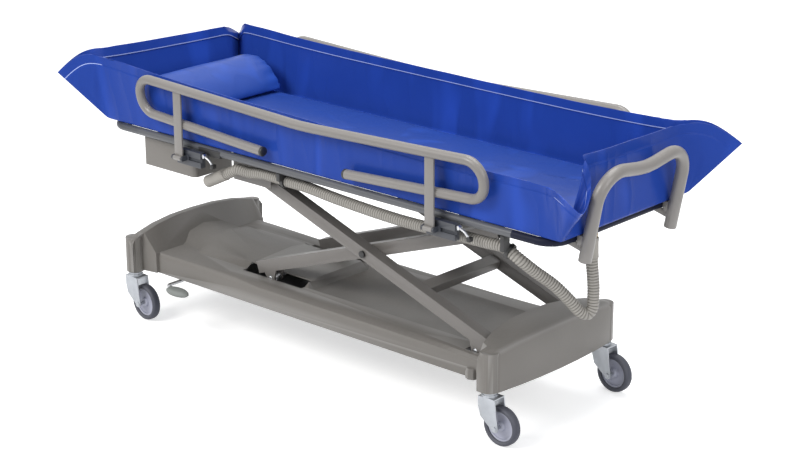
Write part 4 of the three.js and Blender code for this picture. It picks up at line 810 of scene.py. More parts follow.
def liner_corner(end, side, name):
    """Floor arc and rim points of one corner, from one wall's end over the spout's tip to the other's."""
    x, y = end * FLOOR_X, side * FLOOR_Y
    arc = []
    for k in range(CORNER_COUNT):
        turn = math.pi * k / (2 * (CORNER_COUNT - 1))
        arc.append(Vector((x - end * FLOOR_R * (1 - math.sin(turn)),
                           y - side * FLOOR_R * (1 - math.cos(turn)), LINER_Z)))
    if (end, side) == (FOOT, NEAR):
        tall = RIM_Z - LINER_Z
        slump = [Vector((x + a * tall, y + b * tall, LINER_Z + c * tall)) for a, b, c in SLUMP_SHARES]
        return arc, densified(slump)
    rim_x, rim_y, rim_z = end * RIM_X[name], side * RIM_Y, RIM_Z + RIM_RISE
    drop = FAR_DROP if side == FAR else 0
    lift = 0
    if end == HEAD:
        lift = HEAD_NEAR_RISE if side == NEAR else -FAR_DROP
    long_end = Vector((rim_x - end * FLAP_BACK, rim_y, rim_z - (drop if end == FOOT else 0)))
    short_end = Vector((rim_x, rim_y - side * FLAP_BACK, rim_z + lift))
    tip = Vector((end * FLAP_TIP[0], side * FLAP_TIP[1], FLAP_TIP[2] - drop))
    shoulder_z = FLAP_SHOULDER_Z - (NOTCH_DROP if (end, side) == (HEAD, FAR) else drop)
    shoulders = [(one + tip) / 2 for one in (long_end, short_end)]
    for shoulder in shoulders:
        shoulder.z = shoulder_z
    return arc, densified([long_end, shoulders[0], tip, shoulders[1], short_end])


def liner_ring(level, long_count, short_count):
    """One ring of the tub wall; level 0 is the floor and 1 the rim."""
    corners = []
    for i, (end, side) in enumerate(((FOOT, NEAR), (FOOT, FAR), (HEAD, FAR), (HEAD, NEAR))):
        arc, rim = liner_corner(end, side, "foot" if end == FOOT else "head")
        if i % 2:
            arc, rim = arc[::-1], rim[::-1]
        corners.append([low.lerp(high, level) for low, high in zip(arc, rim)])
    ring = []
    for i, corner in enumerate(corners):
        ring += corner
        count = short_count if i % 2 == 0 else long_count
        start, stop = corner[-1], corners[(i + 1) % 4][0]
        for k in range(1, count + 1):
            t = k / (count + 1)
            sag = RIM_RISE * (SHORT_SAG_SHARE if i % 2 == 0 else 1)
            drop = sag * (1 - (1 - 4 * t * (1 - t)) ** 2) * level
            ring.append(start.lerp(stop, t) - Vector((0, 0, drop)))
    return ring


LINER_LEVELS = (0.0, 0.07, 0.2, 0.36, 0.52, 0.68, 0.8, HEM_LEVEL - 0.008, HEM_LEVEL + 0.012, 0.93, 0.985,
                1.0)


def liner_cage(long_count=15, short_count=7):
    """The tub as one sheet with a UV map that runs round and up, and where its spouts are along that map."""
    rings = [liner_ring(level, long_count, short_count) for level in LINER_LEVELS]
    size = len(rings[0])
    floor = [Vector((p.x * FLOOR_CREASE_SHARES[0], p.y * FLOOR_CREASE_SHARES[1], p.z)) for p in rings[0]]
    verts = floor + [p for ring in rings for p in ring]
    heights = [-0.05] + list(LINER_LEVELS)
    faces = [tuple(range(size))]
    places = [None]
    for row in range(len(rings)):
        for k in range(size):
            j = (k + 1) % size
            faces.append((row * size + k, row * size + j, (row + 1) * size + j, (row + 1) * size + k))
            places.append((row, k))
    mesh = bpy.data.meshes.new("tub_liner_sheet")
    mesh.from_pydata(verts, [], faces)
    layer = mesh.uv_layers.new(name="sheet")
    for polygon, place in zip(mesh.polygons, places):
        for n, loop in enumerate(polygon.loop_indices):
            if place is None:
                layer.data[loop].uv = (n / size, -0.05)
                continue
            row, k = place
            dk, dr = ((0, 0), (1, 0), (1, 1), (0, 1))[n]
            layer.data[loop].uv = ((k + dk) / size, heights[row + dr])
    creases = mesh.attributes.new("crease_vert", "FLOAT", "POINT")
    last = len(rings) * size
    half = CORNER_COUNT // 2
    step = CORNER_COUNT + short_count
    tip_places = [half, half + step, half + step + CORNER_COUNT + long_count,
                  half + 2 * step + CORNER_COUNT + long_count]
    for place in tip_places:
        for wall_end in (place - half, place + half):
            creases.data[last + wall_end].value = WALL_END_CREASE
    mesh.update()
    return mesh, [t / size for t in tip_places]


def ridge(t):
    """A soft fold: sharp crest, broad valley."""
    s = abs(math.sin(math.pi * t))
    return 1 - s ** 0.6


def liner_folds(mesh, tips, crease, ripple):
    """Moves the sheet's points along their normals: creases at the corners, long ripples on the walls."""
    where = [None] * len(mesh.vertices)
    layer = mesh.uv_layers["sheet"].data
    for loop in mesh.loops:
        where[loop.vertex_index] = layer[loop.index].uv
    normals = [v.normal.copy() for v in mesh.vertices]
    for vertex, normal in zip(mesh.vertices, normals):
        u, v = where[vertex.index]
        if v <= 0.005:
            continue
        near_tip = min(min(abs(u - t), 1 - abs(u - t)) for t in tips)
        closest = min(tips, key=lambda t: min(abs(u - t), 1 - abs(u - t)))
        fan_zone = max(0.0, 1 - near_tip / CREASE_ZONE)
        bell = math.sin(math.pi * min(v, 1.0)) ** 0.7
        p = vertex.co
        wobble = noise.noise(Vector((p.x * 4, p.y * 4, p.z * 7 + 3)))
        fan = ridge((u - closest) * CREASE_RATE + 0.5 * wobble + v * 0.6) * fan_zone ** 1.3 * bell * crease
        wall = 1 - fan_zone
        slow = noise.noise(Vector((p.x * 3.1 + 9, p.y * 3.1, p.z * 2.2)))
        mid = noise.noise(Vector((p.x * 9 + p.z * 6, p.y * 9, p.z * 5)))
        thin = ridge(noise.noise(Vector((p.x * 5 + 2, p.y * 5, p.z * 4))) * 2.2)
        soft = (slow * 1.7 + mid * 0.7 + thin * 0.35 - 0.2) * ripple * min(1.0, v * 5)
        soft = soft * (0.35 + 0.65 * bell) * wall
        edge = 0.0016 * math.sin(p.x * 31 + p.y * 23) * max(0.0, v - 0.8) * 5 * (0.4 + slow)
        hem = HEM_BULGE * max(0.0, min(1.0, (v - HEM_LEVEL) / HEM_RAMP))
        push = max(-PUSH_LIMIT, min(PUSH_LIMIT, soft - fan + edge - hem)) * min(1.0, near_tip / TIP_CALM)
        vertex.co = p + normal * push
    mesh.update()


def hem_bump_and_highlight(tree, shader, place, bump):
    """Raises the hem above its level on the sheet and paints a pale highlight line along its lower edge on
    the tub's inner face.
    """
    _, up = uv_axes(tree, "sheet")
    band = range_node(tree, up, HEM_LEVEL, HEM_LEVEL + HEM_RAMP)
    tree.links.new(bump_node(tree, band, 0.0012).outputs["Normal"], bump.inputs["Normal"])
    geometry = tree.nodes.new("ShaderNodeNewGeometry")
    facing = tree.nodes.new("ShaderNodeVectorMath")
    facing.operation = "DOT_PRODUCT"
    level = tree.nodes.new("ShaderNodeVectorMath")
    level.operation = "MULTIPLY"
    level.inputs[1].default_value = (1, 1, 0)
    tree.links.new(place, level.inputs[0])
    tree.links.new(geometry.outputs["Normal"], facing.inputs[0])
    tree.links.new(level.outputs["Vector"], facing.inputs[1])
    inside = math_node(tree, "LESS_THAN", facing.outputs["Value"], 0.0)
    # Painted highlight: a pale line just above the hem level, on the inner face only.
    off = math_node(tree, "ABSOLUTE", math_node(tree, "SUBTRACT", up, HEM_LEVEL + 0.015))
    highlight_line = math_node(tree, "LESS_THAN", off, 0.005)
    share = math_node(tree, "MULTIPLY", math_node(tree, "MULTIPLY", highlight_line, inside), 0.8)
    source = shader.inputs["Base Color"].links[0].from_socket
    tree.links.new(mix_colour(tree, share, source, HEM_HIGHLIGHT_COLOUR), shader.inputs["Base Color"])


def vinyl(name, colour, rough, coat, wrinkle, specular=0.3, hem=False):
    """Glossy sheet vinyl: wrinkles that run up the wall, a faint leather grain and pale clouds of painted
    sheen.
    """
    if name in MATERIALS:
        return MATERIALS[name]
    material = finish(name, colour, rough, grain=1500.0, depth=0.00003, patch=0.3, dust=0.02, rub=0.06,
                      coat=coat, patch_scale=5.0, specular=specular)
    tree = material.node_tree
    shader = tree.nodes["Principled BSDF"]
    shader.inputs["Coat Roughness"].default_value = 0.08
    place = tree.nodes.new("ShaderNodeTexCoord").outputs["Object"]
    stretch = tree.nodes.new("ShaderNodeMapping")
    stretch.inputs["Scale"].default_value = (7.0, 7.0, 1.6)
    tree.links.new(place, stretch.inputs["Vector"])
    warp = noise_node(tree, stretch.outputs[0], 1.4, 1.0, 0.45)
    warp.node.inputs["Distortion"].default_value = 0.5
    fold = math_node(tree, "ABSOLUTE", math_node(tree, "SUBTRACT", warp, 0.5))
    sharp = math_node(tree, "POWER", math_node(tree, "SUBTRACT", 1.0, fold), 6.0)
    # Painted sheen: slow paler clouds stand in for soft highlights on the glossy sheet.
    sheen_cloud = range_node(tree, warp, 0.56, 0.72, 0.0, 0.3)
    toned = shader.inputs["Base Color"].links[0].from_socket
    sheen_colour = rgba([c * 1.9 for c in colour])
    tree.links.new(mix_colour(tree, sheen_cloud, toned, sheen_colour), shader.inputs["Base Color"])
    bump = bump_node(tree, sharp, wrinkle)
    fine = shader.inputs["Normal"].links[0].from_node
    tree.links.new(bump.outputs["Normal"], fine.inputs["Normal"])
    # The hem's raised band and its painted highlight line.
    if hem:
        hem_bump_and_highlight(tree, shader, place, bump)
    return material


class TROLLEY_OT_liner(bpy.types.Operator):
    """Make the tub of sheet vinyl with its four spouts, creases and welded rim"""
    bl_idname = "trolley.liner"
    bl_label = "Tub liner"
    bl_options = {"REGISTER", "UNDO"}

    def execute(self, context):
        sizes = context.scene.trolley_tub
        mesh, tips = liner_cage()
        liner = bpy.data.objects.new("tub_liner_sheet", mesh)
        context.scene.collection.objects.link(liner)
        select_only(liner)
        smooth = liner.modifiers.new("Smooth sheet", "SUBSURF")
        smooth.levels = smooth.render_levels = 2
        bpy.ops.object.modifier_apply(modifier=smooth.name)
        liner_folds(liner.data, tips, sizes.crease_depth, sizes.ripple_depth)
        wall = liner.modifiers.new("Sheet thickness", "SOLIDIFY")
        wall.thickness = sizes.thickness
        wall.offset = -1
        bpy.ops.object.modifier_apply(modifier=wall.name)
        material = vinyl("Glossy blue vinyl", colours().liner, 0.2, 0.0, 0.0022, 0.07, True)
        settle(liner, material, "stretcher", "tub_liner_sheet", "tub_liner", smooth=70)
        return {"FINISHED"}


# Mattress and pillow

def cushion_ring(half_x, half_y, r, middle_x, z, steps=6):
    ring = []
    for sx, sy, start in ((1, 1, 0), (-1, 1, 1), (-1, -1, 2), (1, -1, 3)):
        for k in range(steps + 1):
            turn = math.pi / 2 * (start + k / steps)
            ring.append(Vector((middle_x + sx * (half_x - r) + r * math.cos(turn),
                                sy * (half_y - r) + r * math.sin(turn), z)))
    return ring


def lofted(name, rings):
    """A closed skin through rings that hold the same number of points."""
    size = len(rings[0])
    faces = [tuple(range(size))[::-1], tuple((len(rings) - 1) * size + k for k in range(size))]
    for row in range(len(rings) - 1):
        for k in range(size):
            j = (k + 1) % size
            faces.append((row * size + k, row * size + j, (row + 1) * size + j, (row + 1) * size + k))
    mesh = bpy.data.meshes.new(name)
    mesh.from_pydata([p for ring in rings for p in ring], [], faces)
    mesh.update()
    piece = bpy.data.objects.new(name, mesh)
    bpy.context.scene.collection.objects.link(piece)
    select_only(piece)
    bpy.ops.object.mode_set(mode="EDIT")
    bpy.ops.mesh.select_all(action="SELECT")
    bpy.ops.mesh.normals_make_consistent(inside=False)
    bpy.ops.object.mode_set(mode="OBJECT")
    return piece


def apply_subdivision(piece, levels):
    select_only(piece)
    smooth = piece.modifiers.new("Smooth", "SUBSURF")
    smooth.levels = smooth.render_levels = levels
    bpy.ops.object.modifier_apply(modifier=smooth.name)


class TROLLEY_OT_mattress(bpy.types.Operator):
    """Make the thin foam mattress in its blue cover"""
    bl_idname = "trolley.mattress"
    bl_label = "Mattress"
    bl_options = {"REGISTER", "UNDO"}

    def execute(self, context):
        half_x = (MATTRESS_X[1] - MATTRESS_X[0]) / 2
        middle = (MATTRESS_X[1] + MATTRESS_X[0]) / 2
        rings = []
        for inset, height in ((0.012, 0), (0.006, 0.02), (0.001, 0.25), (0, 0.5), (0.001, 0.75),
                              (0.006, 0.95), (0.014, 1.02)):
            rings.append(cushion_ring(half_x - inset, MATTRESS_Y - inset, MATTRESS_CORNER_R - inset, middle,
                                      MATTRESS_Z + MATTRESS_EDGE * height))
        for share, crown in ((0.88, 0.5), (0.7, 0.85), (0.4, 1)):
            rings.append(cushion_ring(half_x - MATTRESS_Y * (1 - share), MATTRESS_Y * share,
                                      MATTRESS_CORNER_R * share, middle,
                                      MATTRESS_Z + MATTRESS_EDGE + MATTRESS_CROWN * crown))
        pad = lofted("mattress_cover", rings)
        apply_subdivision(pad, 2)
        for vertex in pad.data.vertices:
            p = vertex.co
            if p.z > MATTRESS_Z + 0.012:
                dent = noise.noise(Vector((p.x * 5, p.y * 5, 1.5))) * 0.0016
                p.z += min(dent, 0.001)
        settle(pad, vinyl("Blue mattress cover", colours().cushion, 0.36, 0.1, 0.0008), "stretcher",
               "mattress_cover", "mattress", smooth=60)
        return {"FINISHED"}


def pillow_outline(size_share):
    """The half-round cross section, smaller towards the ends."""
    return [((along - 0.5) * (0.7 + 0.3 * size_share) + 0.5, up * size_share)
            for along, up in PILLOW_SECTION]


class TROLLEY_OT_pillow(bpy.types.Operator):
    """Make the bolster pillow across the head end"""
    bl_idname = "trolley.pillow"
    bl_label = "Pillow"
    bl_options = {"REGISTER", "UNDO"}

    def execute(self, context):
        width = PILLOW_X[1] - PILLOW_X[0]
        ends = ((1, 0.5), (0.99, 0.74), (0.95, 0.87), (0.86, 0.95), (0.65, 0.985), (0.3, 1), (0, 1))
        places = [(PILLOW_FLAT_Y + (PILLOW_Y - PILLOW_FLAT_Y) * away, size) for away, size in ends]
        places += [(PILLOW_FLAT_Y * share, 1) for share in (0.66, 0.33, 0)]
        places += [(-y, size) for y, size in places[-2::-1]]
        rings = []
        for y, size in places:
            rings.append([Vector((PILLOW_X[0] + width * along, y, PILLOW_Z + PILLOW_H * up))
                          for along, up in pillow_outline(size)])
        pillow = lofted("pillow_bolster", rings)
        apply_subdivision(pillow, 3)
        for vertex in pillow.data.vertices:
            p = vertex.co
            out = max(0.0, (abs(p.y) - 0.16) / 0.093)
            turn = math.atan2(p.z - PILLOW_Z, p.x - (PILLOW_X[0] + PILLOW_X[1]) / 2)
            gather = math.sin(turn * 17 + math.sin(turn * 5)) * PILLOW_GATHER * out
            gather = gather * min(1.0, (p.z - PILLOW_Z) / 0.01)
            lump = noise.noise(Vector((p.x * 9, p.y * 6, p.z * 9))) * PILLOW_LUMP
            lift = min(1.0, max(0.0, p.z - PILLOW_Z) / 0.015)
            vertex.co = p + vertex.normal * ((gather + lump - PILLOW_INSET) * lift)
        settle(pillow, vinyl("Blue pillow cover", colours().pillow, 0.42, 0.05, 0.001), "stretcher",
               "pillow_bolster", "pillow", smooth=70)
        return {"FINISHED"}


# Side rails

def rail_corners(side):
    low_y, top_y = side * RAIL_LOW_Y, side * RAIL_TOP_Y
    return [(STUB_HEAD_X, low_y, STUB_Z), (RAIL_HEAD_X, low_y, RAIL_LOW_Z),
            (RAIL_HEAD_X, top_y, RAIL_TOP_Z), (0, top_y, RAIL_TOP_Z - RAIL_DIP),
            (RAIL_FOOT_X, top_y, RAIL_TOP_Z), (RAIL_FOOT_X, low_y, RAIL_LOW_Z),
            (STUB_FOOT_X, low_y, STUB_Z)]


class TROLLEY_OT_rails(bpy.types.Operator):
    """Make the two fold-down side rails with their posts, hinge barrels and end caps"""
    bl_idname = "trolley.rails"
    bl_label = "Side rails"
    bl_options = {"REGISTER", "UNDO"}

    def execute(self, context):
        bends = (RAIL_BEND_R, RAIL_BEND_R, RAIL_DIP_BEND_R, RAIL_BEND_R, RAIL_BEND_R)
        for name, side in SIDES:
            parts = [bent_tube(rail_corners(side), RAIL_R, bends)]
            for x in POST_X.values():
                far_end = RAIL_HEAD_X if x < 0 else RAIL_FOOT_X
                top = RAIL_TOP_Z - RAIL_DIP * (1 - x / far_end) - 0.004
                y0, y1 = sorted((side * (RAIL_TOP_Y - POST_T / 2), side * (RAIL_TOP_Y + POST_T / 2)))
                parts.append(block((x - POST_W / 2, y0, POST_LOW_Z), (x + POST_W / 2, y1, top), 0.0022, 3))
                parts.append(turned(((0.0062, 0), (0.008, 0.001), (0.008, POST_W - 0.001), (0.0062, POST_W)),
                                    (x - POST_W / 2, side * HINGE_Y, HINGE_Z), (1, 0, 0), 24))
            rail = joined(*parts)
            settle(rail, satin_paint(), f"rail_{name}", f"side_rail_{name}_tube", f"side_rail_{name}",
                   smooth=35)
            corners = [Vector(p) for p in rail_corners(side)]
            for end, tip, back in (("head", corners[0], corners[1]), ("foot", corners[-1], corners[-2])):
                way = (tip - back).normalized()
                cap = turned(((0.0148, -0.004), (0.0156, -0.003), (0.0156, 0.002), (0.0145, 0.0045),
                              (0.0105, 0.006), (0.004, 0.0065)), tip, way, 32)
                settle(cap, black_plastic(), f"rail_{name}", f"rail_cap_{name}_{end}", smooth=45,
                       slot="black_plastic")
        return {"FINISHED"}


class TROLLEY_OT_latches(bpy.types.Operator):
    """Make the four rail latches with their black tips"""
    bl_idname = "trolley.latches"
    bl_label = "Rail latches"
    bl_options = {"REGISTER", "UNDO"}

    def execute(self, context):
        for side_name, _ in SIDES:
            for end in POST_X:
                node = f"rail_latch_{side_name}_{end}"
                softened(node, bright_steel(), 0.0008)
                low, high = (Vector(c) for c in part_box(node))
                tip = block((high.x - 0.011, low.y - 0.002, low.z - 0.003),
                            (high.x + 0.003, high.y + 0.002, low.z + 0.011), 0.003, 3)
                settle(tip, black_plastic(), f"latch_{side_name}_{end}", f"latch_tip_{side_name}_{end}",
                       smooth=40, slot="black_plastic")
        return {"FINISHED"}


# Bed tubes, hoops and bed frame

class TROLLEY_OT_bed_tubes(bpy.types.Operator):
    """Make the tubes along the bed's sides and round its ends"""
    bl_idname = "trolley.bed_tubes"
    bl_label = "Bed tubes"
    bl_options = {"REGISTER", "UNDO"}

    def execute(self, context):
        for name, side in SIDES:
            tube = bent_tube([(-BOW_JOINT_X, side * TUBE_Y, TUBE_Z), (BOW_JOINT_X, side * TUBE_Y, TUBE_Z)],
                             TUBE_R, ())
            settle(tube, bed_tube_paint(), "stretcher", f"side_tube_{name}_round", f"side_tube_{name}")
        for name, end in ENDS:
            bow = bent_tube([(end * BOW_JOINT_X, -TUBE_Y, TUBE_Z), (end * BOW_X, -TUBE_Y, TUBE_Z),
                             (end * BOW_X, TUBE_Y, TUBE_Z), (end * BOW_JOINT_X, TUBE_Y, TUBE_Z)],
                            TUBE_R, (BOW_BEND_R, BOW_BEND_R))
            # The foot bow takes the darker paint as painted shade.
            paint = painted_shade_bow_paint() if end == FOOT else bed_tube_paint()
            settle(bow, paint, "stretcher", f"{name}_end_bow_round", f"{name}_end_bow")
        return {"FINISHED"}


class TROLLEY_OT_hoops(bpy.types.Operator):
    """Make the push hoop at each end with the short plates that hold it"""
    bl_idname = "trolley.hoops"
    bl_label = "End hoops"
    bl_options = {"REGISTER", "UNDO"}

    def execute(self, context):
        for name, end in ENDS:
            top_x = end * HOOP_TOP_X
            low_z = HOOP_LOW_Z[name]
            low_x = top_x - end * HOOP_LEAN * (HOOP_TOP_Z - low_z)
            route = [(low_x, -HOOP_Y, low_z), (top_x, -HOOP_Y, HOOP_TOP_Z),
                     (top_x, 0, HOOP_TOP_Z - HOOP_DIP), (top_x, HOOP_Y, HOOP_TOP_Z), (low_x, HOOP_Y, low_z)]
            parts = [bent_tube(route, HOOP_R, (HOOP_BEND_R, HOOP_DIP_BEND_R, HOOP_BEND_R), 32, 12)]
            bow_face = end * (BOW_X + BOW_REACH)
            leg_middle = low_x + end * (HOOP_LEAN * (TUBE_Z - low_z) - HOOP_R / 2)
            x0, x1 = sorted((bow_face, leg_middle))
            for side in (NEAR, FAR):
                parts.append(block((x0, side * HOOP_Y - HOOP_PLATE_HALF, HOOP_PLATE_Z[0]),
                                   (x1, side * HOOP_Y + HOOP_PLATE_HALF, HOOP_PLATE_Z[1]), 0.002))
            settle(joined(*parts), satin_paint(), "stretcher", f"{name}_hoop_tube", f"{name}_hoop")
        return {"FINISHED"}


class TROLLEY_OT_bed_frame(bpy.types.Operator):
    """Make the long members, cross members, brackets, platform and pivot shaft under the tub"""
    bl_idname = "trolley.bed_frame"
    bl_label = "Bed frame"
    bl_options = {"REGISTER", "UNDO"}

    def execute(self, context):
        for name in ("long_member_near", "long_member_far"):
            softened(name, arm_paint_painted_shade(), 0.0015, 3)
        # The cross members under the bed take the dark tube paint as painted shade.
        for name in ("cross_member_head", "cross_member_foot"):
            softened(name, bed_tube_paint(), 0.0015, 3)
        softened("bed_platform", platform_board(), 0.0008)
        softened("stretcher_pivot_shaft", bright_steel(), 0.001, smooth=60)
        softened("control_box", moulded_plastic(), 0.011, 5, smooth=50)
        return {"FINISHED"}


# Scissor lift and base

class TROLLEY_OT_lift(bpy.types.Operator):
    """Make the scissor arms, their shafts, rollers and bolts, and the lift cylinder"""
    bl_idname = "trolley.lift"
    bl_label = "Scissor lift"
    bl_options = {"REGISTER", "UNDO"}

    def execute(self, context):
        for name in ("outer_arm_near", "outer_arm_far", "inner_arm_near", "inner_arm_far",
                     "outer_arm_cross_tube"):
            softened(name, arm_paint_painted_shade(), 0.0022, 3)
        for name in ("upper_roller_axle", "lower_roller_axle", "base_pivot_shaft", "piston_rod"):
            softened(name, bright_steel(), 0.0012, smooth=60)
        for name in ("scissor_bolt_near", "scissor_bolt_far"):
            softened(name, black_plastic(), 0.0015, smooth=60)
        for name in ("lift_cylinder", "pump_unit", "chassis_head_beam", "chassis_foot_beam",
                     "chassis_rail_near", "chassis_rail_far"):
            softened(name, dark_steel(), 0.001)
        return {"FINISHED"}


class TROLLEY_OT_base(bpy.types.Operator):
    """Make the moulded base cover with its rounded edges"""
    bl_idname = "trolley.base"
    bl_label = "Base cover"
    bl_options = {"REGISTER", "UNDO"}

    def execute(self, context):
        softened("base_cover", moulded_plastic(), 0.004, 3, angle=28, smooth=50)
        return {"FINISHED"}


class TROLLEY_OT_pedal(bpy.types.Operator):
    """Make the foot pedal and its bent lever"""
    bl_idname = "trolley.pedal"
    bl_label = "Pedal"
    bl_options = {"REGISTER", "UNDO"}

    def execute(self, context):
        softened("pedal_pad", pedal_rubber(), 0.002, 3, smooth=60)
        softened("pedal_lever", bright_steel(), 0.0008, smooth=60)
        return {"FINISHED"}


# Casters

def both_halves(half, middle):
    """A whole profile from its half: the half, what lies in the middle, and the half mirrored."""
    return [(r, -z) for r, z in half] + middle + [(r, z) for r, z in reversed(half)]


class TROLLEY_OT_casters(bpy.types.Operator):
    """Make the four swivel casters: fork, hub and tyre"""
    bl_idname = "trolley.casters"
    bl_label = "Casters"
    bl_options = {"REGISTER", "UNDO"}

    def execute(self, context):
        sides = context.scene.trolley_wheels.sides
        for corner in CORNERS:
            side = NEAR if corner.startswith("near") else FAR
            end = corner.split("_")[1]
            yaw = math.radians(CASTER_YAW[corner])
            centre = Vector((CASTER_X[end] + CASTER_TRAIL * math.cos(yaw),
                             side * CASTER_Y + CASTER_TRAIL * math.sin(yaw), WHEEL_R))
            axis = Vector((-math.sin(yaw), math.cos(yaw), 0))
            tread = [(WHEEL_R - depth, half) for depth, half in TYRE_HALF]
            tyre = turned(both_halves(tread, [(WHEEL_R, 0)]), centre, axis, sides, closed=True)
            settle(tyre, tyre_rubber(), f"wheel_{corner}", f"tyre_{corner}", f"caster_tyre_{corner}")
            hub = turned(both_halves(HUB_HALF, []), centre, axis, sides)
            settle(hub, hub_plastic(), f"wheel_{corner}", f"hub_{corner}", f"caster_hub_{corner}")
            softened(f"caster_fork_{corner}", zinc(), 0.0014, 3, smooth=40)
        return {"FINISHED"}


# Small trim

class TROLLEY_OT_trim(bpy.types.Operator):
    """Make the guide block under the near tube, the tray under the base and the foot hoop's gussets"""
    bl_idname = "trolley.trim"
    bl_label = "Small trim"
    bl_options = {"REGISTER", "UNDO"}

    def execute(self, context):
        guide = block(*GUIDE_BOX, 0.003, 3)
        settle(guide, black_plastic(), "stretcher", "tube_guide_near", slot="black_plastic")
        tray = block(*TRAY_BOX, 0.0006, 1)
        settle(tray, black_plastic(), "base", "base_under_tray", slot="black_plastic")
        middle = Vector((sum(GUSSET_X) / 2, 0, sum(GUSSET_Z) / 2))
        for name, side in SIDES:
            gusset = block((GUSSET_X[0], side * HOOP_Y - GUSSET_HALF, GUSSET_Z[0]),
                           (GUSSET_X[1], side * HOOP_Y + GUSSET_HALF, GUSSET_Z[1]))
            for vertex in gusset.data.vertices:
                if vertex.co.x < middle.x and vertex.co.z < middle.z:
                    vertex.co.z = GUSSET_TOE_Z
            apply_bevel(gusset, 0.001, 2)
            settle(gusset, satin_paint(), "stretcher", f"hoop_gusset_{name}", slot="paint_grey")
        return {"FINISHED"}


# Camera, lights and floor

class TROLLEY_OT_camera(bpy.types.Operator):
    """Place the camera at the angle of the photograph"""
    bl_idname = "trolley.camera"
    bl_label = "Camera"
    bl_options = {"REGISTER", "UNDO"}

    def execute(self, context):
        azimuth, elevation, roll = (math.radians(angle) for angle in CAMERA_ANGLES)
        back = Vector((math.sin(azimuth) * math.cos(elevation), -math.cos(azimuth) * math.cos(elevation),
                       math.sin(elevation)))
        right = Vector((math.cos(azimuth), math.sin(azimuth), 0))
        up = back.cross(right)
        side = right * math.cos(roll) + up * math.sin(roll)
        top = up * math.cos(roll) - right * math.sin(roll)
        data = bpy.data.cameras.new("Photo camera")
        data.sensor_width = SENSOR_WIDTH
        data.lens = FOCAL_PIXELS * SENSOR_WIDTH / PHOTO_WIDTH
        data.clip_end = 100
        camera = bpy.data.objects.new("Photo camera", data)
        context.scene.collection.objects.link(camera)
        place = Matrix((side, top, back)).transposed().to_4x4()
        place.translation = Vector(CAMERA_AIM) + back * CAMERA_DISTANCE
        camera.matrix_world = place
        context.scene.camera = camera
        return {"FINISHED"}


def area_light(name, place, target, size, power, colour=(1, 1, 1)):
    data = bpy.data.lights.new(name, "AREA")
    data.shape = "RECTANGLE"
    data.size, data.size_y = size
    data.energy = power
    data.color = colour
    light = bpy.data.objects.new(name, data)
    bpy.context.scene.collection.objects.link(light)
    light.location = place
    light.rotation_euler = (Vector(target) - Vector(place)).to_track_quat("-Z", "Y").to_euler()


def seen_rays(tree):
    """1 for rays from the camera, glossy or clear surfaces, 0 for those that only light the scene."""
    path = tree.nodes.new("ShaderNodeLightPath")
    seen = math_node(tree, "MAXIMUM", path.outputs["Is Camera Ray"], path.outputs["Is Glossy Ray"])
    return math_node(tree, "MAXIMUM", seen, path.outputs["Is Transmission Ray"])


class TROLLEY_OT_stage(bpy.types.Operator):
    """Lay the pale floor and hang the soft studio lights"""
    bl_idname = "trolley.stage"
    bl_label = "Floor and lights"
    bl_options = {"REGISTER", "UNDO"}

    def execute(self, context):
        clear_selection()
        bpy.ops.mesh.primitive_plane_add(size=60, location=(0, 0, -0.0002))
        floor = context.object
        floor.name = "studio_floor"
        material = bpy.data.materials.new("Pale studio floor")
        material.use_nodes = True
        tree = material.node_tree
        shader = tree.nodes["Principled BSDF"]
        shader.inputs["Base Color"].default_value = (0.86, 0.86, 0.86, 1)
        shader.inputs["Roughness"].default_value = 0.9
        shader.inputs["Specular IOR Level"].default_value = 0.1
        shader.inputs["Emission Color"].default_value = (1, 1, 1, 1)
        glow = math_node(tree, "MULTIPLY", seen_rays(tree), FLOOR_GLOW)
        tree.links.new(glow, shader.inputs["Emission Strength"])
        floor.data.materials.append(material)
        world = bpy.data.worlds.new("Studio")
        context.scene.world = world
        world.use_nodes = True
        sky = world.node_tree
        shown = seen_rays(sky)
        level = math_node(sky, "ADD", math_node(sky, "MULTIPLY", shown, 1 - WORLD_STRENGTH), WORLD_STRENGTH)
        backdrop = sky.nodes["Background"]
        sky.links.new(mix_colour(sky, shown, (0.95, 0.97, 1.0, 1), (1, 1, 1, 1)), backdrop.inputs["Color"])
        sky.links.new(level, backdrop.inputs["Strength"])
        area_light("Key", (-1.5, -5.0, 4.6), (0, 0, 0.6), (3.5, 2.5), 260, (1.0, 0.985, 0.96))
        area_light("Top", (0.3, 0.6, 4.4), (0, 0, 0.7), (4.0, 2.0), 120)
        area_light("Side", (5.0, -1.0, 2.6), (0, 0, 0.6), (2.5, 2.5), 70)
        context.scene.view_settings.view_transform = "Standard"
        return {"FINISHED"}


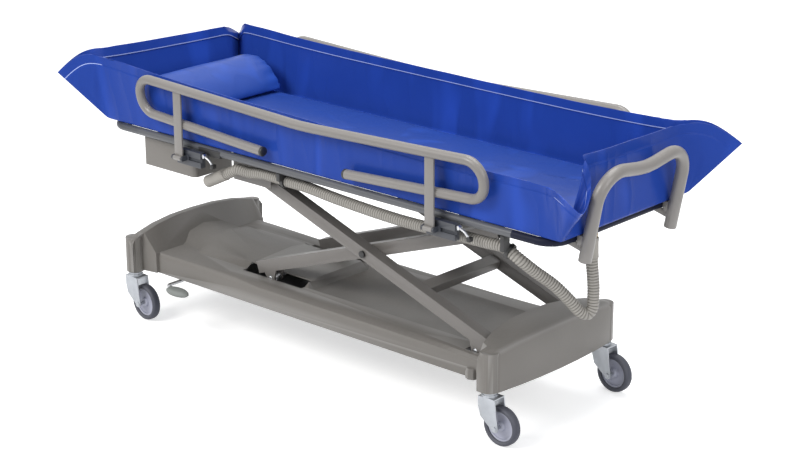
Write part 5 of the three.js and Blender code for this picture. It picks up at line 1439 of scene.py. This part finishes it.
STEPS = (
    ("trolley.camera", "Camera"), ("trolley.hose", "Drain hose"), ("trolley.liner", "Tub liner"),
    ("trolley.mattress", "Mattress"), ("trolley.pillow", "Pillow"), ("trolley.rails", "Side rails"),
    ("trolley.latches", "Rail latches"), ("trolley.bed_tubes", "Bed tubes"), ("trolley.hoops", "End hoops"),
    ("trolley.bed_frame", "Bed frame"), ("trolley.lift", "Scissor lift"), ("trolley.base", "Base cover"),
    ("trolley.pedal", "Pedal"), ("trolley.casters", "Casters"), ("trolley.trim", "Small trim"),
    ("trolley.stage", "Floor and lights"))


class TROLLEY_PT_panel(bpy.types.Panel):
    """Lists the steps and the sizes of the trolley"""
    bl_idname = "TROLLEY_PT_panel"
    bl_label = "Shower trolley"
    bl_space_type = "VIEW_3D"
    bl_region_type = "UI"
    bl_category = "Trolley"

    def draw(self, context):
        layout = self.layout
        for group in (context.scene.trolley_finish, context.scene.trolley_tub, context.scene.trolley_hose,
                      context.scene.trolley_wheels):
            box = layout.box()
            for key in group.bl_rna.properties.keys():
                if key not in ("rna_type", "name"):
                    box.prop(group, key)
        for operator, label in STEPS:
            layout.operator(operator, text=label)


CLASSES = (
    TrolleyFinish, TrolleyTub, TrolleyHose, TrolleyWheels, TROLLEY_OT_camera, TROLLEY_OT_hose,
    TROLLEY_OT_liner, TROLLEY_OT_mattress, TROLLEY_OT_pillow, TROLLEY_OT_rails, TROLLEY_OT_latches,
    TROLLEY_OT_bed_tubes, TROLLEY_OT_hoops, TROLLEY_OT_bed_frame, TROLLEY_OT_lift, TROLLEY_OT_base,
    TROLLEY_OT_pedal, TROLLEY_OT_casters, TROLLEY_OT_trim, TROLLEY_OT_stage, TROLLEY_PT_panel)


def register():
    for one in CLASSES:
        bpy.utils.register_class(one)
    bpy.types.Scene.trolley_finish = PointerProperty(type=TrolleyFinish)
    bpy.types.Scene.trolley_tub = PointerProperty(type=TrolleyTub)
    bpy.types.Scene.trolley_hose = PointerProperty(type=TrolleyHose)
    bpy.types.Scene.trolley_wheels = PointerProperty(type=TrolleyWheels)


def unregister():
    for key in ("trolley_wheels", "trolley_hose", "trolley_tub", "trolley_finish"):
        delattr(bpy.types.Scene, key)
    for one in reversed(CLASSES):
        bpy.utils.unregister_class(one)


def main():
    register()
    for operator, _ in STEPS:
        group, action = operator.split(".")
        getattr(getattr(bpy.ops, group), action)()


if __name__ == "__main__":
    main()
